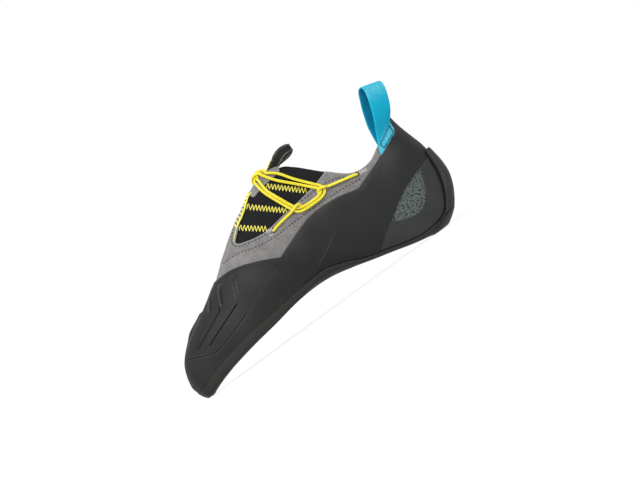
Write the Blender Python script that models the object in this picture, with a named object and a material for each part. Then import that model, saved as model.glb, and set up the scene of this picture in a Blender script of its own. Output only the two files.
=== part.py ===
"""Climbing shoe for the right foot, standing on its toe and its heel.

The last is a ring of ribs. Each rib is a cubic curve up the wall of the foot, from the feather edge
above the sole to the ridge of the instep or, behind it, to the collar. Every piece of the upper is a
stretch of that surface between two offsets, so that the layers stay parallel.

Tables are in millimetres: x from the front of the toe, y from the middle of the heel with the medial
side negative, and z from the floor. They are drawn for a shoe of TABLE_LENGTH, and MM turns them into
metres at the shoe's own length.
"""

from collections import namedtuple

import bpy
import numpy as np

# Length of the shoe in metres, and the length in millimetres that the tables are drawn for.
LENGTH = 0.250
TABLE_LENGTH = 250.0
MM = LENGTH / TABLE_LENGTH

# Driving sizes, in millimetres.
ORIGIN = np.array([124.52, 1.72, 0.0])
SUEDE = 1.6
ELASTIC = 1.2
KEEPER_SINK = 0.4
RUBBER = 1.7
STRIP = 1.7
GAP = 0.3
SEAM = 0.4
SNAP = 0.05
THROAT_LAP = 5.0
SOLE_ROUNDING = 5.0
INSOLE = 2.0
INSOLE_INSET = 2.4
INSOLE_RINGS = (0.0, 0.55, 1.0)
SOLE_RINGS = (1.0, 0.94, 0.84, 0.68, 0.4, 0.0)
CORD = 2.3
CORD_STEP = 6.5
ROUTE_STEP = 4.0
CORD_LIFT = 0.7
WEBBING = 1.4
WEBBING_HALF_WIDTH = 9.0
TAB_TAPE = 1.2
RIBS_PER_STATION = 2
STEPS_UP = 9

# Shares of a rib: layers stand level at the feather edge, turn over LEVEL_SHARE, and keep one direction
# past TOP_SHARE. SLOPE_STEP is the step that slopes are taken over, in stations or shares.
LEVEL_SHARE = 0.16
TOP_SHARE = 0.9
SLOPE_STEP = 0.01

# Fineness of the searches: ribs along the collar, ribs and steps over one side, points along a route.
COLLAR_SEARCH = 2000
SIDE_SEARCH = (400, 160)
ROUTE_SEARCH = 40

# Offsets of each layer from the last, inner then outer.
UPPER_LAYER = (-SUEDE, 0.0)
PANEL_LAYER = (-SUEDE - GAP - ELASTIC, -SUEDE - GAP)
KEEPER_LAYER = (-SUEDE, -KEEPER_SINK)
RUBBER_LAYER = (GAP, GAP + RUBBER)
STRIP_LAYER = (RUBBER_LAYER[1] + GAP, RUBBER_LAYER[1] + GAP + STRIP)

# The top end of each rib: ridge of the instep (gap 0), then collar. keel is the sole's middle below it.
Top = namedtuple("Top", "x z ridge_y gap keel")
TOPS = [
    Top(26.0, 46.9, -12.0, 0.0, 14.0),
    Top(27.5, 47.7, -12.2, 0.0, 15.0),
    Top(30.5, 49.2, -12.4, 0.0, 17.5),
    Top(35.5, 51.6, -12.6, 0.0, 23.0),
    Top(43.5, 55.9, -12.4, 0.0, 34.0),
    Top(56.0, 64.0, -11.5, 0.0, 50.0),
    Top(73.0, 78.8, -9.5, 0.0, 70.0),
    Top(91.5, 91.8, -7.0, 0.0, 90.0),
    Top(111.0, 103.2, -4.5, 0.0, 110.0),
    Top(131.0, 112.2, -2.0, 0.0, 130.0),
    Top(142.0, 112.4, -0.8, 0.0, 141.0),
    Top(150.5, 110.4, 0.0, 0.0, 150.0),
    Top(156.0, 106.2, 0.0, 7.5, 158.0),
    Top(163.5, 98.7, 0.0, 15.5, 169.0),
    Top(175.0, 86.6, 0.0, 21.5, 180.0),
    Top(190.0, 74.2, 0.0, 25.5, 192.0),
    Top(205.0, 72.9, 0.0, 26.5, 205.0),
    Top(219.0, 79.6, 0.0, 23.5, 213.0),
    Top(231.0, 86.8, 0.0, 14.5, 218.0),
    Top(236.5, 90.5, 0.0, 0.0, 220.0),
]
SPLIT = 11

# The feather edge (x, y, z) and the two handles of each rib: lean outward and rise at the feather edge,
# reach outward and drop below the top. overhang is how far the sole stands out past the last.
Rib = namedtuple("Rib", "x y z lean rise reach drop overhang")
TIP = Rib(2.2, -10.0, 8.0, 0.3, 20.0, 13.0, 6.0, 2.4)
MEDIAL = [
    Rib(4.3, -19.0, 8.3, 0.5, 20.0, 13.0, 5.0, 2.4),
    Rib(9.0, -26.0, 9.5, 1.0, 20.0, 13.0, 3.5, 2.4),
    Rib(18.0, -32.0, 12.3, 2.0, 19.0, 14.0, 2.0, 2.4),
    Rib(32.0, -36.5, 16.5, 3.0, 19.0, 15.0, 1.0, 2.4),
    Rib(50.0, -39.5, 20.3, 4.0, 19.0, 17.0, 0.0, 2.4),
    Rib(70.0, -40.0, 22.8, 5.0, 19.0, 18.0, 0.0, 2.4),
    Rib(90.0, -36.5, 24.6, 7.0, 20.0, 18.0, 0.0, 2.4),
    Rib(110.0, -29.5, 27.2, 11.0, 20.0, 18.0, 0.0, 2.4),
    Rib(130.0, -24.0, 28.2, 15.0, 20.0, 18.5, 0.0, 2.4),
    Rib(141.0, -22.5, 25.4, 16.0, 20.0, 19.5, 0.0, 2.4),
    Rib(150.0, -21.5, 22.2, 16.5, 20.0, 20.0, 0.0, 2.4),
    Rib(158.0, -21.3, 18.3, 16.5, 20.0, 16.5, 6.0, 2.4),
    Rib(168.0, -21.6, 15.0, 15.0, 20.0, 11.5, 13.0, 2.4),
    Rib(180.0, -22.8, 11.9, 11.0, 19.0, 7.0, 19.0, 2.4),
    Rib(194.0, -24.2, 8.0, 8.0, 18.0, 4.0, 20.0, 2.4),
    Rib(207.0, -24.5, 6.0, 6.5, 16.0, 3.0, 22.0, 2.4),
    Rib(220.0, -22.0, 6.8, 8.0, 15.0, 5.0, 26.0, 2.6),
    Rib(229.0, -14.0, 8.4, 13.0, 14.0, 10.0, 32.0, 3.4),
]
HEEL = Rib(233.0, 0.0, 9.0, 16.0, 14.0, 12.0, 36.0, 3.8)
LATERAL = [
    Rib(4.9, -1.0, 8.3, 0.5, 19.0, 13.0, 5.0, 2.4),
    Rib(10.0, 6.5, 9.5, 1.0, 18.0, 14.0, 4.0, 2.4),
    Rib(20.0, 15.5, 12.3, 2.0, 16.0, 16.0, 2.5, 2.4),
    Rib(34.0, 25.5, 16.5, 3.5, 14.0, 18.0, 1.0, 2.4),
    Rib(51.0, 35.0, 20.0, 5.0, 13.0, 20.0, 0.0, 2.4),
    Rib(70.0, 41.5, 22.4, 6.0, 13.0, 22.0, 0.0, 2.4),
    Rib(90.0, 43.5, 24.2, 7.0, 14.0, 22.0, 0.0, 2.4),
    Rib(110.0, 41.0, 25.6, 7.0, 16.0, 21.0, 0.0, 2.4),
    Rib(130.0, 36.5, 25.0, 7.0, 18.0, 19.0, 0.0, 2.4),
    Rib(141.0, 33.7, 23.2, 7.5, 19.0, 19.5, 0.0, 2.4),
    Rib(150.0, 31.5, 20.5, 8.0, 20.0, 20.0, 0.0, 2.4),
    Rib(158.0, 29.8, 18.0, 8.5, 20.0, 16.5, 6.0, 2.4),
    Rib(168.0, 28.0, 15.0, 8.5, 20.0, 11.5, 13.0, 2.4),
    Rib(180.0, 26.6, 11.9, 8.0, 19.0, 7.0, 19.0, 2.4),
    Rib(194.0, 25.6, 8.0, 7.0, 18.0, 4.0, 20.0, 2.4),
    Rib(207.0, 24.8, 6.0, 6.5, 16.0, 3.0, 22.0, 2.4),
    Rib(220.0, 22.0, 6.8, 8.0, 15.0, 5.0, 26.0, 2.6),
    Rib(229.0, 14.0, 8.4, 13.0, 14.0, 10.0, 32.0, 3.4),
]

# The sole along its middle: height of its bottom, which the floor cuts off flat, and its thickness at the
# edge and in the middle.
Sole = namedtuple("Sole", "x bottom edge core")
SOLES = [
    Sole(-5.0, -0.9, 4.8, 3.8),
    Sole(8.0, -0.9, 4.8, 3.8),
    Sole(13.0, 1.4, 4.8, 3.8),
    Sole(20.0, 4.0, 4.8, 3.8),
    Sole(30.0, 7.0, 4.8, 3.8),
    Sole(50.0, 11.3, 4.8, 3.8),
    Sole(80.0, 16.0, 4.8, 3.8),
    Sole(100.0, 19.4, 4.8, 3.8),
    Sole(115.0, 20.5, 4.8, 3.8),
    Sole(130.0, 20.0, 4.6, 3.4),
    Sole(150.0, 16.7, 3.6, 2.6),
    Sole(168.0, 12.4, 2.2, 1.9),
    Sole(180.0, 9.5, 1.9, 1.8),
    Sole(200.0, 3.6, 2.4, 2.0),
    Sole(210.0, 1.0, 2.8, 2.6),
    Sole(216.0, -0.6, 2.8, 3.2),
    Sole(227.0, -0.6, 2.6, 3.4),
    Sole(236.0, 1.5, 1.7, 3.4),
]

# Edges of the panels in side view, each as height z over x.
Edge = namedtuple("Edge", "x z")
PATCH_TOP = [
    Edge(0, 66.5), Edge(50, 67), Edge(65, 68), Edge(72, 68.2), Edge(80, 66.8), Edge(95, 61.5),
    Edge(115, 51.8),
]
PATCH_FOOT = [
    Edge(-5, 31), Edge(12, 31), Edge(20, 28), Edge(28, 25), Edge(40, 27), Edge(70, 36.5), Edge(90, 44),
    Edge(115, 56),
]
WING_TOP = [
    Edge(95, 46.6), Edge(110, 54), Edge(130, 61.5), Edge(145, 66), Edge(160, 66.6), Edge(175, 64.6),
    Edge(200, 57),
]
SLING_TOP = [
    Edge(116, 22), Edge(121, 30), Edge(140, 41), Edge(157, 50.5), Edge(168, 58), Edge(175, 64.6),
    Edge(187, 61.7), Edge(200, 66.2), Edge(214, 71.5), Edge(229, 77.6), Edge(235, 82), Edge(239, 100),
]
CUP_TOP = [
    Edge(160, -2), Edge(172, 13), Edge(190, 26), Edge(205, 36), Edge(220, 43.6), Edge(233, 47.6),
    Edge(255, 55),
]
INSERT_FOOT = [
    Edge(189, 33), Edge(194, 26), Edge(203, 21.5), Edge(211, 20), Edge(219, 22), Edge(227, 30.5),
    Edge(235, 50),
]
THROAT_FOOT = [
    Edge(80, 85), Edge(90, 81), Edge(109, 76.4), Edge(130, 78.5), Edge(154, 81.7), Edge(176, 87.5),
    Edge(190, 95),
]
KEEPER_FOOT = [Edge(110, 103.4), Edge(135, 106), Edge(155, 107.6)]

# Front edge of the heel strip in side view, as x over z.
Upright = namedtuple("Upright", "z x")
STRIP_EDGE = [
    Upright(5, 212), Upright(8, 218), Upright(11.5, 224), Upright(16.5, 230), Upright(25, 235.5),
    Upright(36, 239), Upright(48, 241), Upright(60, 242),
]
THROAT_FRONT = (88.6, 83.0)
THROAT_FRONT_SLANT = 0.75
THROAT_CORNER = 3.0
PATCH_BACK = 110.0
WING_FRONT, RAND_BACK = 108.0, 178.0
SLING_FRONT = 118.0
KEEPER_FRONT, KEEPER_BACK = 117.7, 148.5
INSERT_FRONT, INSERT_BACK = 193.0, 234.0
STRIP_TOP = 55.5

# Lace routes in side view, from the ridge down one side and back. Both sides have the same route.
Route = namedtuple("Route", "x z")
LOOP_OUTER_ENDS = (126.8, 137.6)
LOOP_OUTER = [
    Route(128.6, 99), Route(134, 85.7), Route(138.2, 76.8), Route(140.6, 73.4), Route(145, 71.9),
    Route(152, 71.2), Route(160, 71.5), Route(164.6, 72.9), Route(166.8, 75.6), Route(165.2, 79.2),
    Route(153, 93.8), Route(144.8, 104.6),
]
LOOP_INNER_ENDS = (129.9, 133.6)
LOOP_INNER = [
    Route(131.4, 99.8), Route(136.7, 86.7), Route(140.8, 78.2), Route(142.8, 75.8), Route(146, 74.7),
    Route(152, 74), Route(158, 74.3), Route(161.5, 75.1), Route(162.6, 77), Route(160.6, 79.8),
    Route(150.2, 91.2), Route(140.8, 102.3),
]
FRONT_TIE = [Route(117.5, 73.2), Route(124, 74.6), Route(130, 75.5), Route(135.8, 76.2)]
REAR_TIE = [Route(192.5, 70.9), Route(186, 72.3), Route(177, 74.2), Route(168.7, 76.2)]

# The heel loop's middle line above the collar, outer half first, with the tilt of its width.
Bend = namedtuple("Bend", "x y z tilt")
HEEL_LOOP = [
    Bend(229.3, -20.6, 88.5, 2.0),
    Bend(233.0, -21.8, 94.5, 0.0),
    Bend(236.0, -21.8, 101.0, -1.0),
    Bend(238.5, -20.8, 108.0, -2.0),
    Bend(240.0, -19.0, 114.0, -2.5),
    Bend(240.0, -16.6, 118.3, -3.0),
    Bend(238.4, -14.2, 119.6, -3.0),
    Bend(236.2, -12.2, 117.6, -3.0),
    Bend(234.0, -11.2, 112.5, -2.5),
    Bend(231.4, -10.8, 106.0, -2.0),
    Bend(229.0, -11.2, 99.0, -1.0),
    Bend(227.0, -12.6, 93.0, 1.0),
]
HEEL_LOOP_RUN = (0.79, 0.61)
HEEL_LOOP_COLLAR = (219.0, 233.5)
HEEL_LOOP_OUTER_LAP = (0.955, 0.99)
HEEL_LOOP_INNER_LAP = (0.99, 0.93)
LOOP_COLUMNS = 5

# The tongue tab's near half, from its sewn end to its fold: middle line and half of its width.
Fold = namedtuple("Fold", "x y z half")
TONGUE_TAB = [
    Fold(143.5, 1.2, 113.5, 1.2),
    Fold(147.0, 1.8, 114.4, 2.8),
    Fold(151.0, 3.3, 115.4, 4.7),
    Fold(155.0, 4.1, 116.0, 5.0),
    Fold(160.0, 3.6, 116.0, 4.5),
    Fold(163.4, 2.0, 116.1, 3.4),
    Fold(164.4, 0.0, 116.2, 3.0),
]

STATIONS = len(TOPS)
AROUND = 2 * (STATIONS - 1)
RIBS = np.array([TIP] + MEDIAL + [HEEL] + LATERAL[::-1])
SIDES = np.array([-1.0] * STATIONS + [1.0] * (STATIONS - 2))
TOP_ROWS = np.array(TOPS + TOPS[-2:0:-1])
CARRIER = "shoe"


def through(points, at):
    """Smooth curve through rows spaced one apart, closed into a ring."""
    count = len(points)
    row = np.floor(at).astype(int)
    part = (at - row)[..., None]
    before, start, end, after = (points[(row + step) % count] for step in (-1, 0, 1, 2))
    slope = end - before
    bend = 2 * before - 5 * start + 4 * end - after
    twist = 3 * (start - end) + after - before
    return start + 0.5 * part * (slope + part * (bend + part * twist))


def height(rows, x, column=1):
    """A table's column over its x, as a smooth curve with straight ends."""
    table = np.array(rows)
    known, values = table[:, 0], table[:, column]
    slopes = np.gradient(values, known)
    inside = np.clip(x, known[0], known[-1])
    row = np.clip(np.searchsorted(known, inside) - 1, 0, len(known) - 2)
    span = known[row + 1] - known[row]
    part = (inside - known[row]) / span
    rise = values[row + 1] - values[row]
    left, right = slopes[row] * span - rise, rise - slopes[row + 1] * span
    curve = values[row] + part * rise + part * (1 - part) * (left * (1 - part) + right * part)
    return curve + (x - inside) * np.where(x < known[0], slopes[0], slopes[-1])


def unit(vectors):
    return vectors / np.maximum(np.linalg.norm(vectors, axis=-1, keepdims=True), 1e-9)


def station(u):
    """How far a rib is from the toe, in stations, on either side."""
    u = np.mod(u, AROUND)
    return np.minimum(u, AROUND - u)


def feather(u):
    return through(RIBS, u)


def outward(u):
    """Level direction that points away from the foot at the feather edge."""
    run = (feather(u + SLOPE_STEP) - feather(u - SLOPE_STEP))[..., :2]
    return unit(np.stack([run[..., 1], -run[..., 0], np.zeros(run.shape[:-1])], axis=-1))


def top(u):
    rows = through(TOP_ROWS, u)
    signed_gap = through((TOP_ROWS[:, 3] * SIDES)[:, None], u)[..., 0]
    signed_gap = np.where(station(u) <= SPLIT + 1e-9, 0.0, signed_gap)
    return np.stack([rows[..., 0], rows[..., 2] + signed_gap, rows[..., 1]], axis=-1)


def last(u, t):
    """Point of the last on rib u, at t from the feather edge (0) to the top (1)."""
    rib, away, end = feather(u), outward(u), top(u)
    start = rib[..., :3]
    up = np.array([0.0, 0.0, 1.0])
    low = start + away * rib[..., 3:4] + up * rib[..., 4:5]
    high = end + away * rib[..., 5:6] - up * rib[..., 6:7]
    t = np.asarray(t)[..., None]
    return start * (1 - t) ** 3 + 3 * low * t * (1 - t) ** 2 + 3 * high * t**2 * (1 - t) + end * t**3


def facing(u, t):
    """Direction that layers build up in at a point of the last, level at the feather edge."""
    near = np.clip(t, SLOPE_STEP, TOP_SHARE)
    along = last(u + SLOPE_STEP, near) - last(u - SLOPE_STEP, near)
    upward = last(u, near + SLOPE_STEP) - last(u, near - SLOPE_STEP)
    normal = unit(np.cross(along, upward))
    blend = np.clip(np.asarray(t) / LEVEL_SHARE, 0, 1)[..., None]
    blend = blend * blend * (3 - 2 * blend)
    return unit(outward(u) * (1 - blend) + normal * blend)


def material(name, color, roughness):
    shade = bpy.data.materials.new(name)
    shade.use_nodes = True
    shader = shade.node_tree.nodes["Principled BSDF"]
    shader.inputs["Base Color"].default_value = (*color, 1.0)
    shader.inputs["Roughness"].default_value = roughness
    shader.inputs["Metallic"].default_value = 0.0
    return shade


def place(thing, shade):
    thing.data.materials.append(shade)
    thing.parent = bpy.data.objects[CARRIER]
    bpy.context.scene.collection.objects.link(thing)


def solid(name, points, faces, shade):
    mesh = bpy.data.meshes.new(name)
    mesh.from_pydata((np.asarray(points) * MM).tolist(), [], faces)
    mesh.update()
    mesh.shade_smooth()
    mesh.set_sharp_from_angle(angle=np.radians(40))
    place(bpy.data.objects.new(name, mesh), shade)


def thick(name, inside, outside, faces, shade):
    """Closes a sheet, given its inner and outer points, with a rim along its open edges."""
    count = len(inside)
    directed = {(face[k - 1], face[k]) for face in faces for k in range(len(face))}
    rim = [(b, a, a + count, b + count) for a, b in directed if (b, a) not in directed]
    shell = [tuple(face) for face in faces] + [tuple(k + count for k in face[::-1]) for face in faces]
    solid(name, np.vstack([outside, inside]), shell + rim, shade)


class Lattice:
    """Triangles of the whole last that every layer is cut from, so that layers have parallel facets."""

    def __init__(self):
        around, up = AROUND * RIBS_PER_STATION, STEPS_UP + 1
        u, t = np.meshgrid(np.arange(around) / RIBS_PER_STATION, np.linspace(0, 1, up), indexing="ij")
        self.points = last(u, t).reshape(-1, 3)
        face = facing(u, t)
        number = np.arange(around * up).reshape(around, up)
        for rib in range(1, SPLIT * RIBS_PER_STATION + 1):
            mirrored = around - rib
            number[mirrored, -1] = number[rib, -1]
            face[rib, -1] = unit(face[rib, -1] + face[mirrored, -1])
        self.facing = face.reshape(-1, 3)
        self.triangles = []
        for rib in range(around):
            following = (rib + 1) % around
            for step in range(STEPS_UP):
                a, b = number[rib, step], number[following, step]
                c, d = number[following, step + 1], number[rib, step + 1]
                self.triangles += [(a, b, d), (b, c, d)] if rib * 2 < around else [(a, b, c), (a, c, d)]

    def cut(self, name, limits, layer, shade):
        """A layer of the last where all of the limits are below zero."""
        reach = np.stack(limits(*self.points.T), axis=1)
        reach = np.where(np.abs(reach) < SNAP, 0.0, reach)
        rows = np.hstack([self.points, self.facing, reach])
        corners, faces = {}, []
        for triangle in self.triangles:
            polygon = rows[list(triangle)]
            for column in range(6, rows.shape[1]):
                polygon = clipped(polygon, column)
            face = []
            for corner in polygon:
                number = corners.setdefault(tuple(np.round(corner[:3], 3)), (len(corners), corner))[0]
                if number not in face:
                    face.append(number)
            if len(face) > 2:
                faces.append(face)
        used = np.array([corner for _, corner in corners.values()])
        points, facing_out = used[:, :3], used[:, 3:6]
        thick(name, points + facing_out * layer[0], points + facing_out * layer[1], faces, shade)


def clipped(polygon, column):
    """The part of a polygon where the column is below zero."""
    if not len(polygon) or polygon[:, column].min() >= 0:
        return polygon[:0]
    kept = []
    for before, corner in zip(np.roll(polygon, 1, axis=0), polygon):
        if before[column] * corner[column] < 0:
            share = before[column] / (before[column] - corner[column])
            kept.append(before + (corner - before) * share)
        if corner[column] <= 0:
            kept.append(corner)
    return np.array(kept)


def below(rows, x, z):
    """Distance of z above an edge given over x, negative below it."""
    step = 0.5
    slope = (height(rows, x + step) - height(rows, x - step)) / (2 * step)
    return (z - height(rows, x)) / np.hypot(1, slope)


def throat(x, y, z):
    low = -below(THROAT_FOOT, x, z)
    front = THROAT_FRONT[0] + (z - THROAT_FRONT[1]) * THROAT_FRONT_SLANT - x
    both = np.maximum(low, front)
    near = np.clip(THROAT_CORNER - np.abs(low - front), 0, None)
    return both + near**2 / (4 * THROAT_CORNER)


def upper_limits(x, y, z):
    return [-throat(x, y, z)]


def panel_limits(x, y, z):
    return [throat(x, y, z) - THROAT_LAP]


def keeper_limits(x, y, z):
    return [-below(KEEPER_FOOT, x, z), KEEPER_FRONT - x, x - KEEPER_BACK]


def patch_limits(x, y, z):
    edges = [below(PATCH_TOP, x, z), -below(PATCH_FOOT, x, z), x - PATCH_BACK]
    return [SEAM / 2 + edge for edge in edges]


def rand_limits(x, y, z):
    crest = np.where(x < WING_FRONT, below(PATCH_FOOT, x, z), below(WING_TOP, x, z))
    return [SEAM / 2 + edge for edge in (crest, -below(SLING_TOP, x, z), x - RAND_BACK)]


def sling_limits(x, y, z):
    return [SEAM / 2 + edge for edge in (below(SLING_TOP, x, z), -below(CUP_TOP, x, z), SLING_FRONT - x)]


def window(x, y, z):
    return np.maximum.reduce([-below(INSERT_FOOT, x, z), INSERT_FRONT - x, x - INSERT_BACK])


def insert_limits(side):
    return lambda x, y, z: [SEAM / 2 + below(CUP_TOP, x, z), SEAM / 2 + window(x, y, z), -y * side]


def cup_limits(x, y, z):
    return [SEAM / 2 + below(CUP_TOP, x, z), SEAM / 2 - window(x, y, z), SLING_FRONT - x]


def strip_limits(x, y, z):
    return [-below(STRIP_EDGE, z, x), z - STRIP_TOP]


def sole_rib(u):
    """Edge of the sole, its middle below the rib, and the height of its top edge."""
    rib = feather(u)
    edge = rib[:, :2] + outward(u)[:, :2] * rib[:, 7:8]
    middle_y = (rib[:, 1] + feather(AROUND - u)[:, 1]) / 2
    middle = np.stack([through(TOP_ROWS, u)[:, 4], middle_y], axis=-1)
    return edge, middle, rib[:, 2] - GAP


def sole_top(u, share, lift=0.0):
    """Ring on the sole's top, at share of the way from its middle to the edge of the insole."""
    edge, middle, crest = sole_rib(u)
    across = np.sum((edge - middle) * outward(u)[:, :2], axis=-1)
    out = share * (1 - (INSOLE_INSET + feather(u)[:, 7]) / across)
    level = middle + (edge - middle) * out[:, None]
    low = np.maximum(height(SOLES, level[:, 0], 1), 0.0) + height(SOLES, level[:, 0], 3)
    low_edge = np.maximum(height(SOLES, edge[:, 0], 1), 0.0) + height(SOLES, edge[:, 0], 3)
    z = low + (crest - low_edge) * out**2 + lift
    return np.concatenate([level, z[:, None]], axis=-1)


def sole_edge(u):
    edge, _, crest = sole_rib(u)
    return np.concatenate([edge, crest[:, None]], axis=-1)


def sole_bottom(u, out):
    """Ring on the sole's bottom, at out from its middle (0) to its edge (1), flat on the floor."""
    edge, middle, crest = sole_rib(u)
    level = middle + (edge - middle) * out
    low_edge = height(SOLES, edge[:, 0], 1)
    rise = (crest - height(SOLES, edge[:, 0], 2) - low_edge) * out**SOLE_ROUNDING
    z = np.maximum(height(SOLES, level[:, 0], 1) + rise, 0.0)
    return np.concatenate([level, z[:, None]], axis=-1)


def ring_of_profiles(name, profile, shade):
    """Closed solid from one profile at each rib, top middle to edge to bottom middle."""
    around = AROUND * RIBS_PER_STATION
    u = np.arange(around) / RIBS_PER_STATION
    points = np.concatenate([row(u) for row in profile])
    number = np.arange(len(points)).reshape(len(profile), around)
    for middle in (0, -1):
        number[middle, around // 2 + 1:] = number[middle, 1:around // 2][::-1]
    faces = []
    for upper_row, lower_row in zip(number, number[1:]):
        for rib in range(around):
            following = (rib + 1) % around
            a, b, c, d = upper_row[rib], lower_row[rib], lower_row[following], upper_row[following]
            falling = np.linalg.norm(points[a] - points[c]) < np.linalg.norm(points[b] - points[d])
            halves = [(a, b, c), (a, c, d)] if falling else [(a, b, d), (b, c, d)]
            faces += [half for half in halves if len(set(half)) == 3]
    used = sorted({k for face in faces for k in face})
    renumber = {k: i for i, k in enumerate(used)}
    solid(name, points[used], [[renumber[k] for k in face] for face in faces], shade)


def outsole(shade):
    profile = [lambda u, share=share: sole_top(u, share) for share in INSOLE_RINGS] + [sole_edge]
    profile += [lambda u, out=out: sole_bottom(u, out) for out in SOLE_RINGS]
    ring_of_profiles("outsole", profile, shade)


def insole(shade):
    profile = [lambda u, share=share: sole_top(u, share, GAP + INSOLE) for share in INSOLE_RINGS]
    profile += [lambda u, share=share: sole_top(u, share, GAP) for share in INSOLE_RINGS[::-1]]
    ring_of_profiles("insole", profile, shade)


def rib_at_top(x, side):
    """Rib whose top is at x, on the medial (-1) or lateral (1) side."""
    stations = np.linspace(0, STATIONS - 1, COLLAR_SEARCH)
    nearest = stations[np.argmin(np.abs(top(stations)[:, 0] - x))]
    return nearest if side < 0 else AROUND - nearest


def over_last(route, side, lift):
    """Points above the last, close together, where side view shows the route."""
    stations, shares = np.linspace(0, STATIONS - 1, SIDE_SEARCH[0]), np.linspace(0, 1, SIDE_SEARCH[1])
    u, t = np.meshgrid(stations if side < 0 else AROUND - stations, shares, indexing="ij")
    points, face = last(u, t).reshape(-1, 3), facing(u, t).reshape(-1, 3)
    found = []
    for x, z in smooth_route(route, False, ROUTE_STEP):
        nearest = np.argmin((points[:, 0] - x) ** 2 + (points[:, 2] - z) ** 2)
        found.append(points[nearest] + face[nearest] * lift)
    return found


def over_ridge(x, lift):
    u = np.array([rib_at_top(x, -1)])
    both_sides = facing(u, np.ones(1)) + facing(AROUND - u, np.ones(1))
    return (top(u) + unit(both_sides) * lift)[0]


def smooth_route(points, closed, step):
    """Points a step apart on a smooth curve through the route."""
    points = np.array(points)
    if not closed:
        points = np.vstack([2 * points[0] - points[1], points, 2 * points[-1] - points[-2]])
    first, ends = (0, len(points)) if closed else (1, len(points) - 2)
    fine = through(points, np.linspace(first, ends, ROUTE_SEARCH * len(points), endpoint=not closed))
    looped = np.vstack([fine, fine[:1]]) if closed else fine
    travelled = np.concatenate([[0], np.cumsum(np.linalg.norm(np.diff(looped, axis=0), axis=1))])
    count = max(int(round(travelled[-1] / step)), 3)
    stops = np.linspace(0, travelled[-1], count, endpoint=not closed)
    return np.stack([np.interp(stops, travelled, looped[:, k]) for k in range(points.shape[1])], axis=1)


def cord(name, points, closed, shade):
    curve = bpy.data.curves.new(name, "CURVE")
    curve.dimensions = "3D"
    curve.bevel_depth = CORD / 2 * MM
    curve.bevel_resolution = 1
    curve.use_fill_caps = True
    spline = curve.splines.new("POLY")
    route = smooth_route(points, closed, CORD_STEP) * MM
    spline.points.add(len(route) - 1)
    for point, spot in zip(spline.points, route):
        point.co = (*spot, 1.0)
    spline.use_cyclic_u = closed
    spline.use_smooth = True
    place(bpy.data.objects.new(name, curve), shade)


def laces(shade):
    lift = CORD / 2 + CORD_LIFT
    loops = (("outer", LOOP_OUTER, LOOP_OUTER_ENDS), ("inner", LOOP_INNER, LOOP_INNER_ENDS))
    for name, route, ends in loops:
        front, back = (over_ridge(x, lift) for x in ends)
        medial, lateral = over_last(route, -1, lift), over_last(route, 1, lift)
        cord(f"lace_loop_{name}", [front] + medial + [back] + lateral[::-1], True, shade)
    for end, route in (("front", FRONT_TIE), ("rear", REAR_TIE)):
        for side_name, side in (("medial", -1), ("lateral", 1)):
            cord(f"lace_tie_{end}_{side_name}", over_last(route, side, lift), False, shade)


def tape(name, middle, thickness, shade):
    """Flat tape from the grid of points on its middle sheet, rows along it and columns across it."""
    rows, columns = middle.shape[:2]
    along = np.gradient(middle, axis=0)
    across = np.gradient(middle, axis=1)
    face = unit(np.cross(along, across)).reshape(-1, 3)
    number = np.arange(rows * columns).reshape(rows, columns)
    faces = []
    for row in range(rows - 1):
        for column in range(columns - 1):
            a, b = number[row, column], number[row + 1, column]
            c, d = number[row + 1, column + 1], number[row, column + 1]
            faces.append((a, b, c, d))
    points = middle.reshape(-1, 3)
    thick(name, points - face * thickness / 2, points + face * thickness / 2, faces, shade)


def heel_loop(shade):
    ribs = np.array([rib_at_top(x, -1) for x in np.linspace(*HEEL_LOOP_COLLAR, LOOP_COLUMNS)])
    lift = 2 * GAP + WEBBING / 2
    rows = []
    above = np.array([0.0, 0.0, WEBBING])
    ones = np.ones(LOOP_COLUMNS)
    for t in HEEL_LOOP_OUTER_LAP:
        rows.append(last(ribs, t * ones) + facing(ribs, t * ones) * lift)
    rows.append(last(ribs, ones) + facing(ribs, ones) * lift + above)
    across = np.linspace(-WEBBING_HALF_WIDTH, WEBBING_HALF_WIDTH, LOOP_COLUMNS)
    for bend in HEEL_LOOP:
        width = unit(np.array([*HEEL_LOOP_RUN, bend.tilt / WEBBING_HALF_WIDTH]))
        rows.append(np.array(bend[:3]) + across[:, None] * width)
    rows.append(last(ribs, ones) - facing(ribs, ones) * (SUEDE + lift) + above)
    for t in HEEL_LOOP_INNER_LAP:
        rows.append(last(ribs, t * ones) - facing(ribs, t * ones) * (SUEDE + lift))
    tape("heel_loop", np.array(rows), WEBBING, shade)


def tongue_tab(shade):
    bends = [fold._replace(y=-fold.y) for fold in TONGUE_TAB] + TONGUE_TAB[-2::-1]
    middle = [[(fold.x, fold.y, fold.z + side * fold.half) for side in (-1, 0, 1)] for fold in bends]
    tape("tongue_tab", np.array(middle), TAB_TAPE, shade)


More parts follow.
